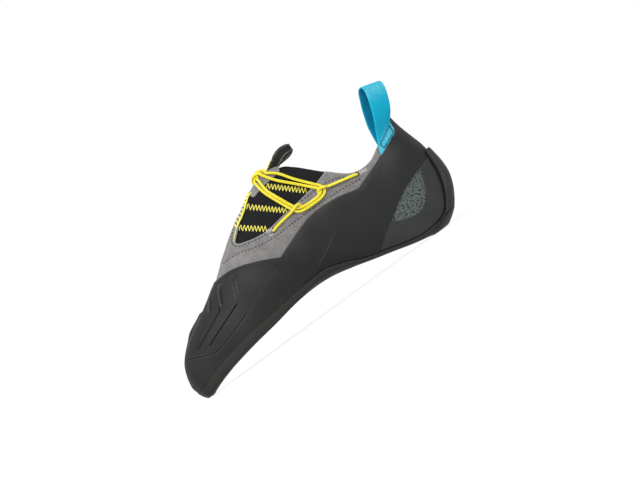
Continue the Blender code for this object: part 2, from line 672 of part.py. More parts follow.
def build():
    for thing in list(bpy.data.objects):
        bpy.data.objects.remove(thing, do_unlink=True)
    carrier = bpy.data.objects.new(CARRIER, None)
    carrier.location = -ORIGIN * MM
    bpy.context.scene.collection.objects.link(carrier)

    suede = material("grey_suede", (0.31, 0.30, 0.30), 0.9)
    rubber = material("black_rubber", (0.036, 0.038, 0.037), 0.6)
    textured = material("grey_textured_rubber", (0.11, 0.14, 0.135), 0.7)
    elastic = material("black_elastic", (0.018, 0.02, 0.022), 0.9)
    yellow = material("yellow_cord", (0.9, 0.74, 0.02), 0.6)
    webbing = material("blue_webbing", (0.01, 0.39, 0.56), 0.7)
    black_tape = material("black_tape", (0.02, 0.022, 0.024), 0.8)
    board = material("insole_board", (0.05, 0.05, 0.05), 0.9)

    lattice = Lattice()
    lattice.cut("upper", upper_limits, UPPER_LAYER, suede)
    lattice.cut("throat_panel", panel_limits, PANEL_LAYER, elastic)
    lattice.cut("lace_keeper", keeper_limits, KEEPER_LAYER, suede)
    lattice.cut("rand", rand_limits, RUBBER_LAYER, rubber)
    lattice.cut("toe_patch", patch_limits, RUBBER_LAYER, rubber)
    lattice.cut("sling_rand", sling_limits, RUBBER_LAYER, rubber)
    lattice.cut("heel_cup", cup_limits, RUBBER_LAYER, rubber)
    lattice.cut("heel_insert_medial", insert_limits(-1), RUBBER_LAYER, textured)
    lattice.cut("heel_insert_lateral", insert_limits(1), RUBBER_LAYER, textured)
    lattice.cut("heel_strip", strip_limits, STRIP_LAYER, rubber)
    outsole(rubber)
    insole(board)
    heel_loop(webbing)
    tongue_tab(black_tape)
    laces(yellow)


build()
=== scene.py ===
from collections import namedtuple

import bpy
import numpy as np
from mathutils import Matrix, Vector


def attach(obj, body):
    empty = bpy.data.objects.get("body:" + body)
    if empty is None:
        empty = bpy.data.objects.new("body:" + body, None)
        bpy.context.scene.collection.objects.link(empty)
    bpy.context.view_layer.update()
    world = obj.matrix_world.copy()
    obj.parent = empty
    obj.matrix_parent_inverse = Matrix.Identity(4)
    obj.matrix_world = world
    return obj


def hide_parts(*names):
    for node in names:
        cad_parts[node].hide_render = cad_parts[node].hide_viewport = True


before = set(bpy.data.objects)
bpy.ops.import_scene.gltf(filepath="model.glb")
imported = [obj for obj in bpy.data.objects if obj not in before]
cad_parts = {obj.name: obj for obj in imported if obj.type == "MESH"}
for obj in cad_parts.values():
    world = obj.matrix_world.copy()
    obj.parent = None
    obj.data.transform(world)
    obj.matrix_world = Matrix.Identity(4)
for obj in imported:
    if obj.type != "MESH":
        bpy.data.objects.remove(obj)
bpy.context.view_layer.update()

# Upper. Grey split suede in two halves, pulled over the last and closed along the instep, with a dark
# microfibre lining. It stays open at the collar, in the throat and underneath, where the insole goes in.
MM = 0.001
ORIGIN = np.array([124.52, 1.72, 0.0])
SUEDE = 1.6
UPPER_LAYER = (-SUEDE, 0.0)
SUEDE_GREY = (0.222, 0.212, 0.210, 1)
SUEDE_PALE = (0.295, 0.285, 0.281, 1)
LINING_GREY = (0.085, 0.087, 0.09, 1)

# The last is a ring of ribs, in millimetres from the front of the toe: the top end of each rib, then its
# feather edge and handles. keel is the middle of the sole below it, overhang how far the sole stands out.
Top = namedtuple("Top", "x z ridge_y gap keel")
TOPS = [
    Top(26.0, 46.9, -12.0, 0.0, 14.0),
    Top(27.5, 47.7, -12.2, 0.0, 15.0),
    Top(30.5, 49.2, -12.4, 0.0, 17.5),
    Top(35.5, 51.6, -12.6, 0.0, 23.0),
    Top(43.5, 55.9, -12.4, 0.0, 34.0),
    Top(56.0, 64.0, -11.5, 0.0, 50.0),
    Top(73.0, 78.8, -9.5, 0.0, 70.0),
    Top(91.5, 91.8, -7.0, 0.0, 90.0),
    Top(111.0, 103.2, -4.5, 0.0, 110.0),
    Top(131.0, 112.2, -2.0, 0.0, 130.0),
    Top(142.0, 112.4, -0.8, 0.0, 141.0),
    Top(150.5, 110.4, 0.0, 0.0, 150.0),
    Top(156.0, 106.2, 0.0, 7.5, 158.0),
    Top(163.5, 98.7, 0.0, 15.5, 169.0),
    Top(175.0, 86.6, 0.0, 21.5, 180.0),
    Top(190.0, 74.2, 0.0, 25.5, 192.0),
    Top(205.0, 72.9, 0.0, 26.5, 205.0),
    Top(219.0, 79.6, 0.0, 23.5, 213.0),
    Top(231.0, 86.8, 0.0, 14.5, 218.0),
    Top(236.5, 90.5, 0.0, 0.0, 220.0),
]
SPLIT = 11
Rib = namedtuple("Rib", "x y z lean rise reach drop overhang", defaults=[2.4])
TIP = Rib(2.2, -10.0, 8.0, 0.3, 20.0, 13.0, 6.0)
MEDIAL = [
    Rib(4.3, -19.0, 8.3, 0.5, 20.0, 13.0, 5.0),
    Rib(9.0, -26.0, 9.5, 1.0, 20.0, 13.0, 3.5),
    Rib(18.0, -32.0, 12.3, 2.0, 19.0, 14.0, 2.0),
    Rib(32.0, -36.5, 16.5, 3.0, 19.0, 15.0, 1.0),
    Rib(50.0, -39.5, 20.3, 4.0, 19.0, 17.0, 0.0),
    Rib(70.0, -40.0, 22.8, 5.0, 19.0, 18.0, 0.0),
    Rib(90.0, -36.5, 24.6, 7.0, 20.0, 18.0, 0.0),
    Rib(110.0, -29.5, 27.2, 11.0, 20.0, 18.0, 0.0),
    Rib(130.0, -24.0, 28.2, 15.0, 20.0, 18.5, 0.0),
    Rib(141.0, -22.5, 25.4, 16.0, 20.0, 19.5, 0.0),
    Rib(150.0, -21.5, 22.2, 16.5, 20.0, 20.0, 0.0),
    Rib(158.0, -21.3, 18.3, 16.5, 20.0, 16.5, 6.0),
    Rib(168.0, -21.6, 15.0, 15.0, 20.0, 11.5, 13.0),
    Rib(180.0, -22.8, 11.9, 11.0, 19.0, 7.0, 19.0),
    Rib(194.0, -24.2, 8.0, 8.0, 18.0, 4.0, 20.0),
    Rib(207.0, -24.5, 6.0, 6.5, 16.0, 3.0, 22.0),
    Rib(220.0, -22.0, 6.8, 8.0, 15.0, 5.0, 26.0, 2.6),
    Rib(229.0, -14.0, 8.4, 13.0, 14.0, 10.0, 32.0, 3.4),
]
HEEL = Rib(233.0, 0.0, 9.0, 16.0, 14.0, 12.0, 36.0, 3.8)
LATERAL = [
    Rib(4.9, -1.0, 8.3, 0.5, 19.0, 13.0, 5.0),
    Rib(10.0, 6.5, 9.5, 1.0, 18.0, 14.0, 4.0),
    Rib(20.0, 15.5, 12.3, 2.0, 16.0, 16.0, 2.5),
    Rib(34.0, 25.5, 16.5, 3.5, 14.0, 18.0, 1.0),
    Rib(51.0, 35.0, 20.0, 5.0, 13.0, 20.0, 0.0),
    Rib(70.0, 41.5, 22.4, 6.0, 13.0, 22.0, 0.0),
    Rib(90.0, 43.5, 24.2, 7.0, 14.0, 22.0, 0.0),
    Rib(110.0, 41.0, 25.6, 7.0, 16.0, 21.0, 0.0),
    Rib(130.0, 36.5, 25.0, 7.0, 18.0, 19.0, 0.0),
    Rib(141.0, 33.7, 23.2, 7.5, 19.0, 19.5, 0.0),
    Rib(150.0, 31.5, 20.5, 8.0, 20.0, 20.0, 0.0),
    Rib(158.0, 29.8, 18.0, 8.5, 20.0, 16.5, 6.0),
    Rib(168.0, 28.0, 15.0, 8.5, 20.0, 11.5, 13.0),
    Rib(180.0, 26.6, 11.9, 8.0, 19.0, 7.0, 19.0),
    Rib(194.0, 25.6, 8.0, 7.0, 18.0, 4.0, 20.0),
    Rib(207.0, 24.8, 6.0, 6.5, 16.0, 3.0, 22.0),
    Rib(220.0, 22.0, 6.8, 8.0, 15.0, 5.0, 26.0, 2.6),
    Rib(229.0, 14.0, 8.4, 13.0, 14.0, 10.0, 32.0, 3.4),
]
STATIONS = len(TOPS)
AROUND = 2 * (STATIONS - 1)
RIBS = np.array([TIP] + MEDIAL + [HEEL] + LATERAL[::-1])
SIDES = np.array([-1.0] * STATIONS + [1.0] * (STATIONS - 2))
TOP_ROWS = np.array(TOPS + TOPS[-2:0:-1])
KEEL, OVERHANG = Top._fields.index("keel"), Rib._fields.index("overhang")
LEVEL_SHARE = 0.16
TOP_SHARE = 0.9
RIDGE_SHARE = 0.86
SLOPE_STEP = 0.01
FINE_STATIONS = 1500
SPACING_SHARE = 0.35
RIB_LENGTH = 105.0
RIB_END_SPEED = 60.0
CUT_ROUNDS = 4
EDGE_CUTS = (0.1, 0.35, 1.0)
EDGE_BAND = 1.6
FOOT_SHARE = 0.02
SHARP_ANGLE = np.radians(55)
TINY = 1e-9


def through(points, at):
    """Smooth curve through rows spaced one apart, closed into a ring."""
    count = len(points)
    row = np.floor(at).astype(int)
    part = (at - row)[..., None]
    before, start, end, after = (points[(row + step) % count] for step in (-1, 0, 1, 2))
    slope = end - before
    bend = 2 * before - 5 * start + 4 * end - after
    twist = 3 * (start - end) + after - before
    return start + 0.5 * part * (slope + part * (bend + part * twist))


def unit(vectors):
    return vectors / np.maximum(np.linalg.norm(vectors, axis=-1, keepdims=True), TINY)


def smooth(low, high, value):
    """Soft step from 0 at low to 1 at high."""
    part = np.clip((value - low) / (high - low), 0, 1)
    return part * part * (3 - 2 * part)


def station(u):
    """Rib counted from the toe, the same on both sides."""
    u = np.mod(u, AROUND)
    return np.minimum(u, AROUND - u)


def feather(u):
    """Rib at u, a place round the ring of ribs."""
    return through(RIBS, u)


def outward(u):
    """Level direction away from the feather edge."""
    run = (feather(u + SLOPE_STEP) - feather(u - SLOPE_STEP))[..., :2]
    return unit(np.stack([run[..., 1], -run[..., 0], np.zeros(run.shape[:-1])], axis=-1))


def top(u):
    """Top end of a rib. The two sides meet there along the ridge, and part round the collar."""
    rows = through(TOP_ROWS, u)
    signed_gap = through((TOP_ROWS[:, 3] * SIDES)[:, None], u)[..., 0]
    signed_gap = np.where(station(u) <= SPLIT + TINY, 0.0, signed_gap)
    return np.stack([rows[..., 0], rows[..., 2] + signed_gap, rows[..., 1]], axis=-1)


def last(u, t):
    """Point of the last on rib u, at t from the feather edge (0) to the top (1)."""
    rib, away, end = feather(u), outward(u), top(u)
    start = rib[..., :3]
    lean, rise, reach, drop = np.split(rib[..., 3:7], 4, axis=-1)
    up = np.array([0.0, 0.0, 1.0])
    low = start + away * lean + up * rise
    high = end + away * reach - up * drop
    t = np.asarray(t)[..., None]
    return start * (1 - t) ** 3 + 3 * low * t * (1 - t) ** 2 + 3 * high * t**2 * (1 - t) + end * t**3


def facing(u, t):
    """Direction that layers build up in at a point of the last, level at the feather edge."""
    near = np.clip(t, SLOPE_STEP, TOP_SHARE)
    along = last(u + SLOPE_STEP, near) - last(u - SLOPE_STEP, near)
    upward = last(u, near + SLOPE_STEP) - last(u, near - SLOPE_STEP)
    blend = smooth(0, LEVEL_SHARE, np.asarray(t))[..., None]
    return unit(outward(u) * (1 - blend) + unit(np.cross(along, upward)) * blend)


def on_ridge(spots):
    return (spots[:, 1] > 1 - TINY) & (station(spots[:, 0]) <= SPLIT + TINY)


def lay(spots):
    """Points of the last at the spots (u, t), and the direction that layers build up in there, which turns
    evenly from one side to the other over the ridge."""
    u, t = spots.T
    over = smooth(RIDGE_SHARE, 1, t) * (1 - smooth(SPLIT - 1, SPLIT, station(u)))
    over = np.where(on_ridge(spots), 1, over)[:, None]
    return last(u, t), unit(facing(u, t) * (2 - over) + facing(AROUND - u, t) * over)


def lifted(spots, lift):
    """Points a lift above the spots of the last."""
    points, out = lay(spots)
    return points + out * np.reshape(lift, (-1, 1))


def run_along(points):
    """Length along a line of points, at each of them."""
    return np.concatenate([[0], np.cumsum(np.linalg.norm(np.diff(points, axis=0), axis=1))])


def even_stations(line, step):
    """Stations about a step apart on a line along one side of the last."""
    fine = np.linspace(0, STATIONS - 1, FINE_STATIONS)
    run = run_along(line(fine))
    return np.interp(np.linspace(0, run[-1], int(run[-1] / step)), run, fine)


def grid_faces(number):
    """Quads between the rows and columns of a grid of point numbers."""
    corners = number[..., :-1, :-1], number[..., 1:, :-1], number[..., 1:, 1:], number[..., :-1, 1:]
    return np.stack(corners, -1).reshape(-1, 4)


def ring_faces(number):
    """Quads of a grid whose rows close into rings."""
    return grid_faces(np.concatenate([number, number[..., :1]], axis=-1))


def lattice(step):
    """Triangles about a step wide over the whole last, as spots (u, t) on it."""
    half = even_stations(lambda u: last(u, np.full(u.shape, SPACING_SHARE)), step)
    ring = np.concatenate([half, AROUND - half[-2::-1]])
    u, t = np.meshgrid(ring, np.linspace(0, 1, int(RIB_LENGTH / step)), indexing="ij")
    a, b, c, d = grid_faces(np.arange(u.size).reshape(u.shape)).T
    medial = (np.repeat(np.arange(len(ring) - 1), u.shape[1] - 1) < len(half) - 1)[:, None]
    first = np.where(medial, np.stack([a, b, d], 1), np.stack([a, b, c], 1))
    second = np.where(medial, np.stack([b, c, d], 1), np.stack([a, c, d], 1))
    return np.stack([u.ravel(), t.ravel()], 1), np.concatenate([first, second])


def cut(spots, faces, reach, keep_both=False):
    """Splits the faces where reach(spots) is zero and, unless both are kept, drops those above zero."""
    values = reach(spots)
    inside = values <= 0
    count = inside[faces].sum(1)
    whole = faces[(count == 3) | ((count == 0) & keep_both)]
    crossed = faces[(count == 1) | (count == 2)]
    tip_inside = inside[crossed].sum(1) == 1
    first = (inside[crossed] == tip_inside[:, None]).argmax(1)
    p, q, r = np.take_along_axis(crossed, (first[:, None] + np.arange(3)) % 3, axis=1).T
    edges = np.sort(np.concatenate([np.stack([p, q], 1), np.stack([p, r], 1)]), axis=1)
    pairs, index = np.unique(edges, axis=0, return_inverse=True)
    start, end = spots[pairs[:, 0]], spots[pairs[:, 1]]
    low, high = np.zeros(len(pairs)), np.ones(len(pairs))
    low_value, high_value = values[pairs[:, 0]], values[pairs[:, 1]]
    for _ in range(CUT_ROUNDS):
        share = low + (high - low) * low_value / np.where(low_value == high_value, 1, low_value - high_value)
        value = reach(start + (end - start) * share[:, None])
        same = (value <= 0) == (low_value <= 0)
        low, low_value = np.where(same, share, low), np.where(same, value, low_value)
        high, high_value = np.where(same, high, share), np.where(same, high_value, value)
    new = start + (end - start) * share[:, None]
    pq, pr = np.split(len(spots) + index.ravel(), 2)
    tips, rests = np.stack([p, pq, pr], 1), [np.stack([pq, q, r], 1), np.stack([pq, r, pr], 1)]
    kept = [whole, tips[tip_inside | keep_both]] + [rest[~tip_inside | keep_both] for rest in rests]
    return np.vstack([spots, new]), np.concatenate(kept)


def welded(spots, faces):
    """Joins spots that are the same place on the last, and drops those that no face uses."""
    u = np.mod(spots[:, 0], AROUND)
    u = np.where(on_ridge(spots), station(u), u)
    key = np.round(np.stack([u, spots[:, 1]], 1), 6)
    key[:, 0] %= AROUND
    places, index = np.unique(key, axis=0, return_inverse=True)
    faces = index.ravel()[faces]
    a, b, c = faces.T
    faces = faces[(a != b) & (b != c) & (c != a)]
    used, faces = np.unique(faces, return_inverse=True)
    return places[used], faces.reshape(-1, 3)


def mesh_piece(name, points, faces, shades, which=None, uv=None, **attributes):
    """Object from points in millimetres. which gives each face's material, attributes a value per point."""
    mesh = bpy.data.meshes.new(name)
    faces = [list(map(int, face)) for face in faces]
    mesh.from_pydata(((np.asarray(points) - ORIGIN) * MM).tolist(), [], faces)
    for shade in shades:
        mesh.materials.append(shade)
    if which is not None:
        mesh.polygons.foreach_set("material_index", np.asarray(which, dtype=np.int32))
    for key, values in attributes.items():
        mesh.attributes.new(key, "FLOAT", "POINT").data.foreach_set("value", np.asarray(values, np.float32))
    if uv is not None:
        corners = np.empty(len(mesh.loops), dtype=np.int32)
        mesh.loops.foreach_get("vertex_index", corners)
        mesh.uv_layers.new(name="cloth").data.foreach_set("uv", np.asarray(uv, np.float32)[corners].ravel())
    mesh.update()
    mesh.shade_smooth()
    mesh.set_sharp_from_angle(angle=SHARP_ANGLE)
    made = bpy.data.objects.new(name, mesh)
    bpy.context.scene.collection.objects.link(made)
    return made


def edge_drop(depth, radius):
    """How far a rounded edge of this radius falls below the surface, at a depth in from the edge."""
    inset = radius - np.clip(depth, 0, radius)
    return radius - np.sqrt(np.maximum(radius**2 - inset**2, 0))


def layer_piece(
    name, limits, depth, layer, relief, shades, step, radius, under=0.0, sink=None, creases=(), **attributes
):
    """Closed piece of the last between two offsets, where all limits are below zero, with faces about a
    step wide. depth gives how far in from its visible edges a spot is, radius how they are rounded, under
    the same for the inner face. sink is how far its feather edge is lowered, creases split its mesh."""
    spots, faces = lattice(step)
    for number in range(len(limits(*last(*spots[:1].T).T))):
        spots, faces = cut(spots, faces, lambda at: limits(*last(*at.T).T)[number])
        used, faces = np.unique(faces, return_inverse=True)
        spots, faces = spots[used], faces.reshape(-1, 3)
    for share in EDGE_CUTS:
        spots, faces = cut(spots, faces, lambda at: share * radius - depth(at, last(*at.T)), True)
    for crease in creases:
        spots, faces = cut(spots, faces, crease, True)
    spots, faces = welded(spots, faces)
    points, out = lay(spots)
    inset = depth(spots, points)
    high = layer[1] - edge_drop(inset, radius) + relief(spots, points)
    spread = {key: np.tile(value(spots, points), 2) for key, value in attributes.items()}
    uv = np.tile(np.stack([points[:, 0], spots[:, 1] * RIB_LENGTH], 1), (2, 1))
    if sink:
        points[:, 2] -= sink(points[:, 0]) * (1 - smooth(0, FOOT_SHARE, spots[:, 1]))
    low = layer[0] + (edge_drop(inset, under) if under else 0.0) + 0 * high
    count = len(spots)
    a, b, c = faces.T
    directed = np.concatenate([np.stack([a, b], 1), np.stack([b, c], 1), np.stack([c, a], 1)])
    codes = directed[:, 0] * count + directed[:, 1]
    rim = directed[~np.isin(directed[:, 1] * count + directed[:, 0], codes)]
    walls = np.stack([rim[:, 1], rim[:, 0], rim[:, 0] + count, rim[:, 1] + count], 1)
    every = faces.tolist() + (faces[:, ::-1] + count).tolist() + walls.tolist()
    which = np.zeros(len(every), dtype=np.int32)
    which[len(faces):2 * len(faces)] = len(shades) - 1
    both = np.vstack([points + out * high[:, None], points + out * low[:, None]])
    spread["edge"] = np.tile(1 - smooth(0, EDGE_BAND, inset), 2)
    return mesh_piece(name, both, every, shades, which, uv, **spread)


def height(rows, x, column=1):
    """A table's column over its first, as a smooth curve with straight ends."""
    table = np.array(rows)
    known, values = table[:, 0], table[:, column]
    slopes = np.gradient(values, known)
    inside = np.clip(x, known[0], known[-1])
    row = np.clip(np.searchsorted(known, inside) - 1, 0, len(known) - 2)
    span = known[row + 1] - known[row]
    part = (inside - known[row]) / span
    rise = values[row + 1] - values[row]
    left, right = slopes[row] * span - rise, rise - slopes[row + 1] * span
    curve = values[row] + part * rise + part * (1 - part) * (left * (1 - part) + right * part)
    return curve + (x - inside) * np.where(x < known[0], slopes[0], slopes[-1])


def below(rows, x, z):
    """Distance of z above an edge given over x, negative below it."""
    slope = height(rows, x + 0.5) - height(rows, x - 0.5)
    return (z - height(rows, x)) / np.hypot(1, slope)


def both_edges(first, second, corner):
    """The higher of two distances, with the corner between them rounded."""
    near = np.clip(corner - np.abs(first - second), 0, None)
    return np.maximum(first, second) + near**2 / (4 * corner)


def table(kind, *rows):
    """Rows of one kind, such as the places that an edge runs through."""
    return [kind(*row) for row in rows]


Edge = namedtuple("Edge", "x z")
THROAT_FOOT = table(
    Edge, (80, 85), (90, 81), (109, 76.4), (130, 78.5), (154, 81.7), (176, 87.5), (190, 95),
)
THROAT_FRONT = (93.2, 87.6)
THROAT_FRONT_SLANT = 1.1
THROAT_TIP = 88.8
THROAT_CORNERS = (3.0, 1.5)
LOWER_ROW = table(
    Edge, (62, 74.5), (70, 75.5), (85, 75.5), (95, 72.5), (105, 70), (115, 69), (130, 69.5), (150, 69.5),
    (170, 69), (185, 67.5), (200, 66),
)
LOWER_ROW_ENDS = (72.0, 194.0)
EYESTAY_ROW = table(Edge, (147, 79.3), (160, 79.6), (176, 78), (186, 73.6))
EYESTAY_ROW_ENDS = (147.0, 184.0)
THROAT_ROW_INSET = 1.9
ROW_WIDTH, ROW_DEPTH, LOWER_ROW_DEPTH = 0.8, 0.35, 0.4
LOWER_TROUGH, EYESTAY_TROUGH = (66, 197), (146, 186)
OVERLAY_STEP, OVERLAY_FRONT, OVERLAY_SLOPE = 0.35, (60, 70), (0.6, 1.4)
COLLAR_START, NO_EDGE = SPLIT - 0.02, 99.0
Spot = namedtuple("Spot", "x z width amount")
SUEDE_DENTS = table(
    Spot, (80, 78, 7, 0.5), (104, 62, 6, 0.4), (126, 66, 9, -0.4), (180, 71, 6, 0.45), (203, 70, 6, 0.3),
)


def throat(x, z):
    """Distance outside the opening of the throat in side view, negative in it."""
    front = THROAT_FRONT[0] + (z - THROAT_FRONT[1]) * THROAT_FRONT_SLANT - x
    foot = both_edges(-below(THROAT_FOOT, x, z), THROAT_TIP - x, THROAT_CORNERS[0])
    return both_edges(foot, front, THROAT_CORNERS[1])


def bell(away, width):
    """1 in the middle, falling softly to both sides."""
    return np.exp(-(away / width) ** 2)


def trough(away, width, depth):
    return -depth * bell(away, width)


def soft_spots(table, points):
    """Sum of soft round spots, placed in side view."""
    apart = [np.hypot(points[:, 0] - spot.x, points[:, 2] - spot.z) for spot in table]
    return sum(spot.amount * bell(away, spot.width) for spot, away in zip(table, apart))


def within(span, x):
    return (x > span[0]) & (x < span[1])


def collar_depth(spots):
    """Distance below the collar; far away under the ridge, where there is no edge."""
    return np.where(station(spots[:, 0]) > COLLAR_START, (1 - spots[:, 1]) * RIB_END_SPEED, NO_EDGE)


def upper_depth(spots, points):
    return np.minimum(throat(points[:, 0], points[:, 2]), collar_depth(spots))


def suede_relief(spots, points):
    """Troughs that the stitches pull in, the step beside the lower row, and soft dents."""
    x, z = points[:, 0], points[:, 2]
    lower = below(LOWER_ROW, x, z)
    rows = trough(lower, ROW_WIDTH, LOWER_ROW_DEPTH) * within(LOWER_TROUGH, x)
    rows += trough(throat(x, z) - THROAT_ROW_INSET, ROW_WIDTH, ROW_DEPTH)
    rows += trough(below(EYESTAY_ROW, x, z), ROW_WIDTH, ROW_DEPTH) * within(EYESTAY_TROUGH, x)
    overlay = -OVERLAY_STEP * smooth(*OVERLAY_SLOPE, -lower) * smooth(*OVERLAY_FRONT, x)
    return rows + overlay - soft_spots(SUEDE_DENTS, points)


class Wiring:
    """Places and joins the nodes of one tree."""

    def __init__(self, tree):
        self.tree = tree

    def node(self, kind, inputs=(), **settings):
        made = self.tree.nodes.new("ShaderNode" + kind)
        for key, value in settings.items():
            setattr(made, key, value)
        for key, value in dict(inputs).items():
            if isinstance(value, bpy.types.NodeSocket):
                self.tree.links.new(value, made.inputs[key])
            else:
                made.inputs[key].default_value = value
        return made

    def math(self, operation, *values):
        return self.node("Math", dict(enumerate(values)), operation=operation).outputs[0]

    def mix(self, share, first, second):
        return self.node("Mix", {0: share, 6: first, 7: second}, data_type="RGBA").outputs[2]

    def spread(self, value, low, high, to_low, to_high):
        """Value stretched from one range to another, held at its ends."""
        return self.node("MapRange", {0: value, 1: low, 2: high, 3: to_low, 4: to_high}).outputs[0]

    def attribute(self, name):
        return self.node("Attribute", attribute_name=name).outputs["Fac"]


def node_group(name, inputs, outputs):
    """Empty group with float inputs, given with their usual values, and float outputs."""
    tree = bpy.data.node_groups.new(name, "ShaderNodeTree")
    for key, value in inputs.items():
        tree.interface.new_socket(key, in_out="INPUT", socket_type="NodeSocketFloat").default_value = value
    for key in outputs:
        tree.interface.new_socket(key, in_out="OUTPUT", socket_type="NodeSocketFloat")
    return Wiring(tree), tree.nodes.new("NodeGroupInput"), tree.nodes.new("NodeGroupOutput")


def grain_group():
    """Fine grain and broad blotches, at sizes in millimetres."""
    wires, given, put = node_group("grain", {"Grain Size": 0.5, "Blotch Size": 12.0}, ["Grain", "Blotch"])
    spot = wires.node("TexCoord").outputs["Object"]
    spot = wires.node("VectorMath", {0: spot, 1: (1 / MM,) * 3}, operation="MULTIPLY").outputs[0]
    for size, key, detail in (("Grain Size", "Grain", 3.0), ("Blotch Size", "Blotch", 2.0)):
        scale = wires.math("DIVIDE", 1.0, given.outputs[size])
        noise = wires.node("TexNoise", {"Vector": spot, "Scale": scale, "Detail": detail})
        wires.tree.links.new(noise.outputs[0], put.inputs[key])
    return wires.tree


def wear_and_highlight_group():
    """Mask from a piece's edge attribute, broken up by noise: wear along edges, and painted highlights where
    a piece puts them in that attribute.
    """
    wires, given, put = node_group("edge_wear_and_highlight", {"Edge": 0.0, "Breakup Size": 2.0, "Amount": 1.0}, ["Worn"])
    spot = wires.node("TexCoord").outputs["Object"]
    scale = wires.math("DIVIDE", 1 / MM, given.outputs["Breakup Size"])
    noise = wires.node("TexNoise", {"Vector": spot, "Scale": scale, "Detail": 2.0}).outputs[0]
    patchy = wires.math("MULTIPLY", wires.spread(noise, 0.3, 0.7, 0.35, 1.0), given.outputs["Edge"])
    wires.tree.links.new(wires.math("MULTIPLY", patchy, given.outputs["Amount"]), put.inputs["Worn"])
    return wires.tree


GRAIN = grain_group()
WEAR_AND_HIGHLIGHT = wear_and_highlight_group()


def dimmed(colour, share):
    return tuple(share * value for value in colour[:3]) + (1,)


class Finish(Wiring):
    """New material with its Principled shader."""

    def __init__(self, name, roughness, specular=0.35, sheen=0.0):
        self.shade = bpy.data.materials.new(name)
        self.shade.use_nodes = True
        super().__init__(self.shade.node_tree)
        self.shader = self.tree.nodes["Principled BSDF"]
        constants = {"Roughness": roughness, "Specular IOR Level": specular, "Sheen Weight": sheen}
        for key, value in constants.items():
            self.shader.inputs[key].default_value = value

    def grain(self, grain_size, blotch_size=12.0):
        group = self.node("Group", {"Grain Size": grain_size, "Blotch Size": blotch_size}, node_tree=GRAIN)
        return group.outputs["Grain"], group.outputs["Blotch"]

    # Wear along edges, and painted highlights that some pieces give in their edge attribute.
    def wear_and_highlight(self, amount):
        inputs = {"Edge": self.attribute("edge"), "Amount": amount}
        return self.node("Group", inputs, node_tree=WEAR_AND_HIGHLIGHT).outputs["Worn"]

    def feed(self, key, value):
        self.tree.links.new(value, self.shader.inputs[key])

    def bump(self, raised_by, distance):
        raised = self.node("Bump", {"Height": raised_by, "Distance": distance * MM, "Strength": 1.0})
        self.feed("Normal", raised.outputs[0])


def suede_finish(name, main, pale):
    """Suede: a speckled nap, brushed paler in patches and rubbed pale along the edges."""
    finish = Finish(name, roughness=0.92, specular=0.2, sheen=0.25)
    grain, blotch = finish.grain(0.85, 6.0)
    nap = finish.mix(finish.spread(grain, 0.32, 0.68, 0, 1), dimmed(main, 0.55), main)
    brushed = finish.mix(finish.spread(blotch, 0.4, 0.75, 0, 0.45), nap, pale)
    finish.feed("Base Color", finish.mix(finish.wear_and_highlight(0.8), brushed, pale))
    finish.bump(grain, 0.3)
    return finish.shade


def plain_finish(name, dark, light, shine, grain_size, span, raise_by):
    """Plain stuff whose fine grain runs from dark to light. shine is roughness, specular and sheen."""
    finish = Finish(name, *shine)
    grain, _ = finish.grain(grain_size)
    finish.feed("Base Color", finish.mix(finish.spread(grain, *span, 0, 1), dark, light))
    finish.bump(grain, raise_by)
    return finish.shade


suede_shade = suede_finish("suede", SUEDE_GREY, SUEDE_PALE)
lining_shade = plain_finish(
    "lining", dimmed(LINING_GREY, 0.6), LINING_GREY, shine=(0.95, 0.2, 0.15), grain_size=0.8, span=(0.3, 0.7),
    raise_by=0.2,
)
upper = layer_piece(
    "upper_suede", lambda x, y, z: [-throat(x, z)], upper_depth, UPPER_LAYER, suede_relief,
    [suede_shade, lining_shade], step=1.3, radius=0.7, under=0.7,
)
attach(upper, "root")
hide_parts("upper")

# Throat panel. Black elastic behind the throat, sewn under the edge of the suede, its strips joined by
# yellow zigzag rows and its two halves by a yellow seam along the instep. Its rear edge is the collar.
GAP = 0.3
ELASTIC = 1.2
PANEL_LAYER = (-SUEDE - GAP - ELASTIC, -SUEDE - GAP)
THROAT_LAP = 5.0
ELASTIC_BLACK = (0.0066, 0.007, 0.0078, 1)
ELASTIC_GREY = (0.017, 0.0178, 0.020, 1)
ELASTIC_PITCH = (0.9, 0.6)
Row = namedtuple("Row", "x z end_x end_z")
ZIGZAG_ROWS = [Row(97.8, 90.2, 114.2, 77.2), Row(112.0, 99.4, 134.4, 79.4), Row(132.6, 103.8, 155.2, 82.8)]
ZIGZAG_PITCH = 2.55
ZIGZAG_WIDTH = 4.9
ZIGZAG_THREAD, THREAD_STEP = 0.34, 0.8
THREAD_YELLOW = (0.94, 0.82, 0.04, 1)
THREAD_PALE = (0.88, 0.83, 0.34, 1)
SEAM_RISE = 1.1
SEAM_X = (94.4, 120.0)
SEAM_RAIL, SEAM_RUNG = 0.66, 0.58
RAIL_SHARES = (0.872, 0.925)
SEAM_RUNGS, RUNG_LEAN = 9, 2.4
FRONT_EDGE = table(Edge, (96.8, 92.2), (92.2, 88.0), (89.4, 85.2), (88.3, 83.6))
EDGE_THREAD = 0.3
SEAM_SLOPE, SEAM_FRONT, SEAM_BACK = (0.82, 0.9), (92, 97), (117, 122)
SEAM_LIFT, SEAM_FRONT_LIFT, SEAM_BACK_LIFT = 0.3, 0.7, 1.3
FRONT_LIFTED, BACK_LIFTED = (97, 103), (106, 118)
RUNG_INSET, THREAD_SIDES = 0.4, 8
STRIP_SWELL, SWELL_WIDTH = 0.45, 2.2
SEARCH_GRID, SEARCH_ROUNDS, SEARCH_DAMPING, SEARCH_STEP = (300, 120), 8, 0.5, 0.2
STITCH_ARCH, STITCH_SUNK, STITCH_TIP = 1.2, 0.6, 0.02
TUBE_START = [0.3, 0.1, 1.0]
FINE_STEPS, FINE_TOPS = 60, 2000


def from_row(row, x, z):
    """Distance in side view from a straight row."""
    run = np.array([row.end_x - row.x, row.end_z - row.z])
    return ((x - row.x) * run[1] - (z - row.z) * run[0]) / np.hypot(*run)


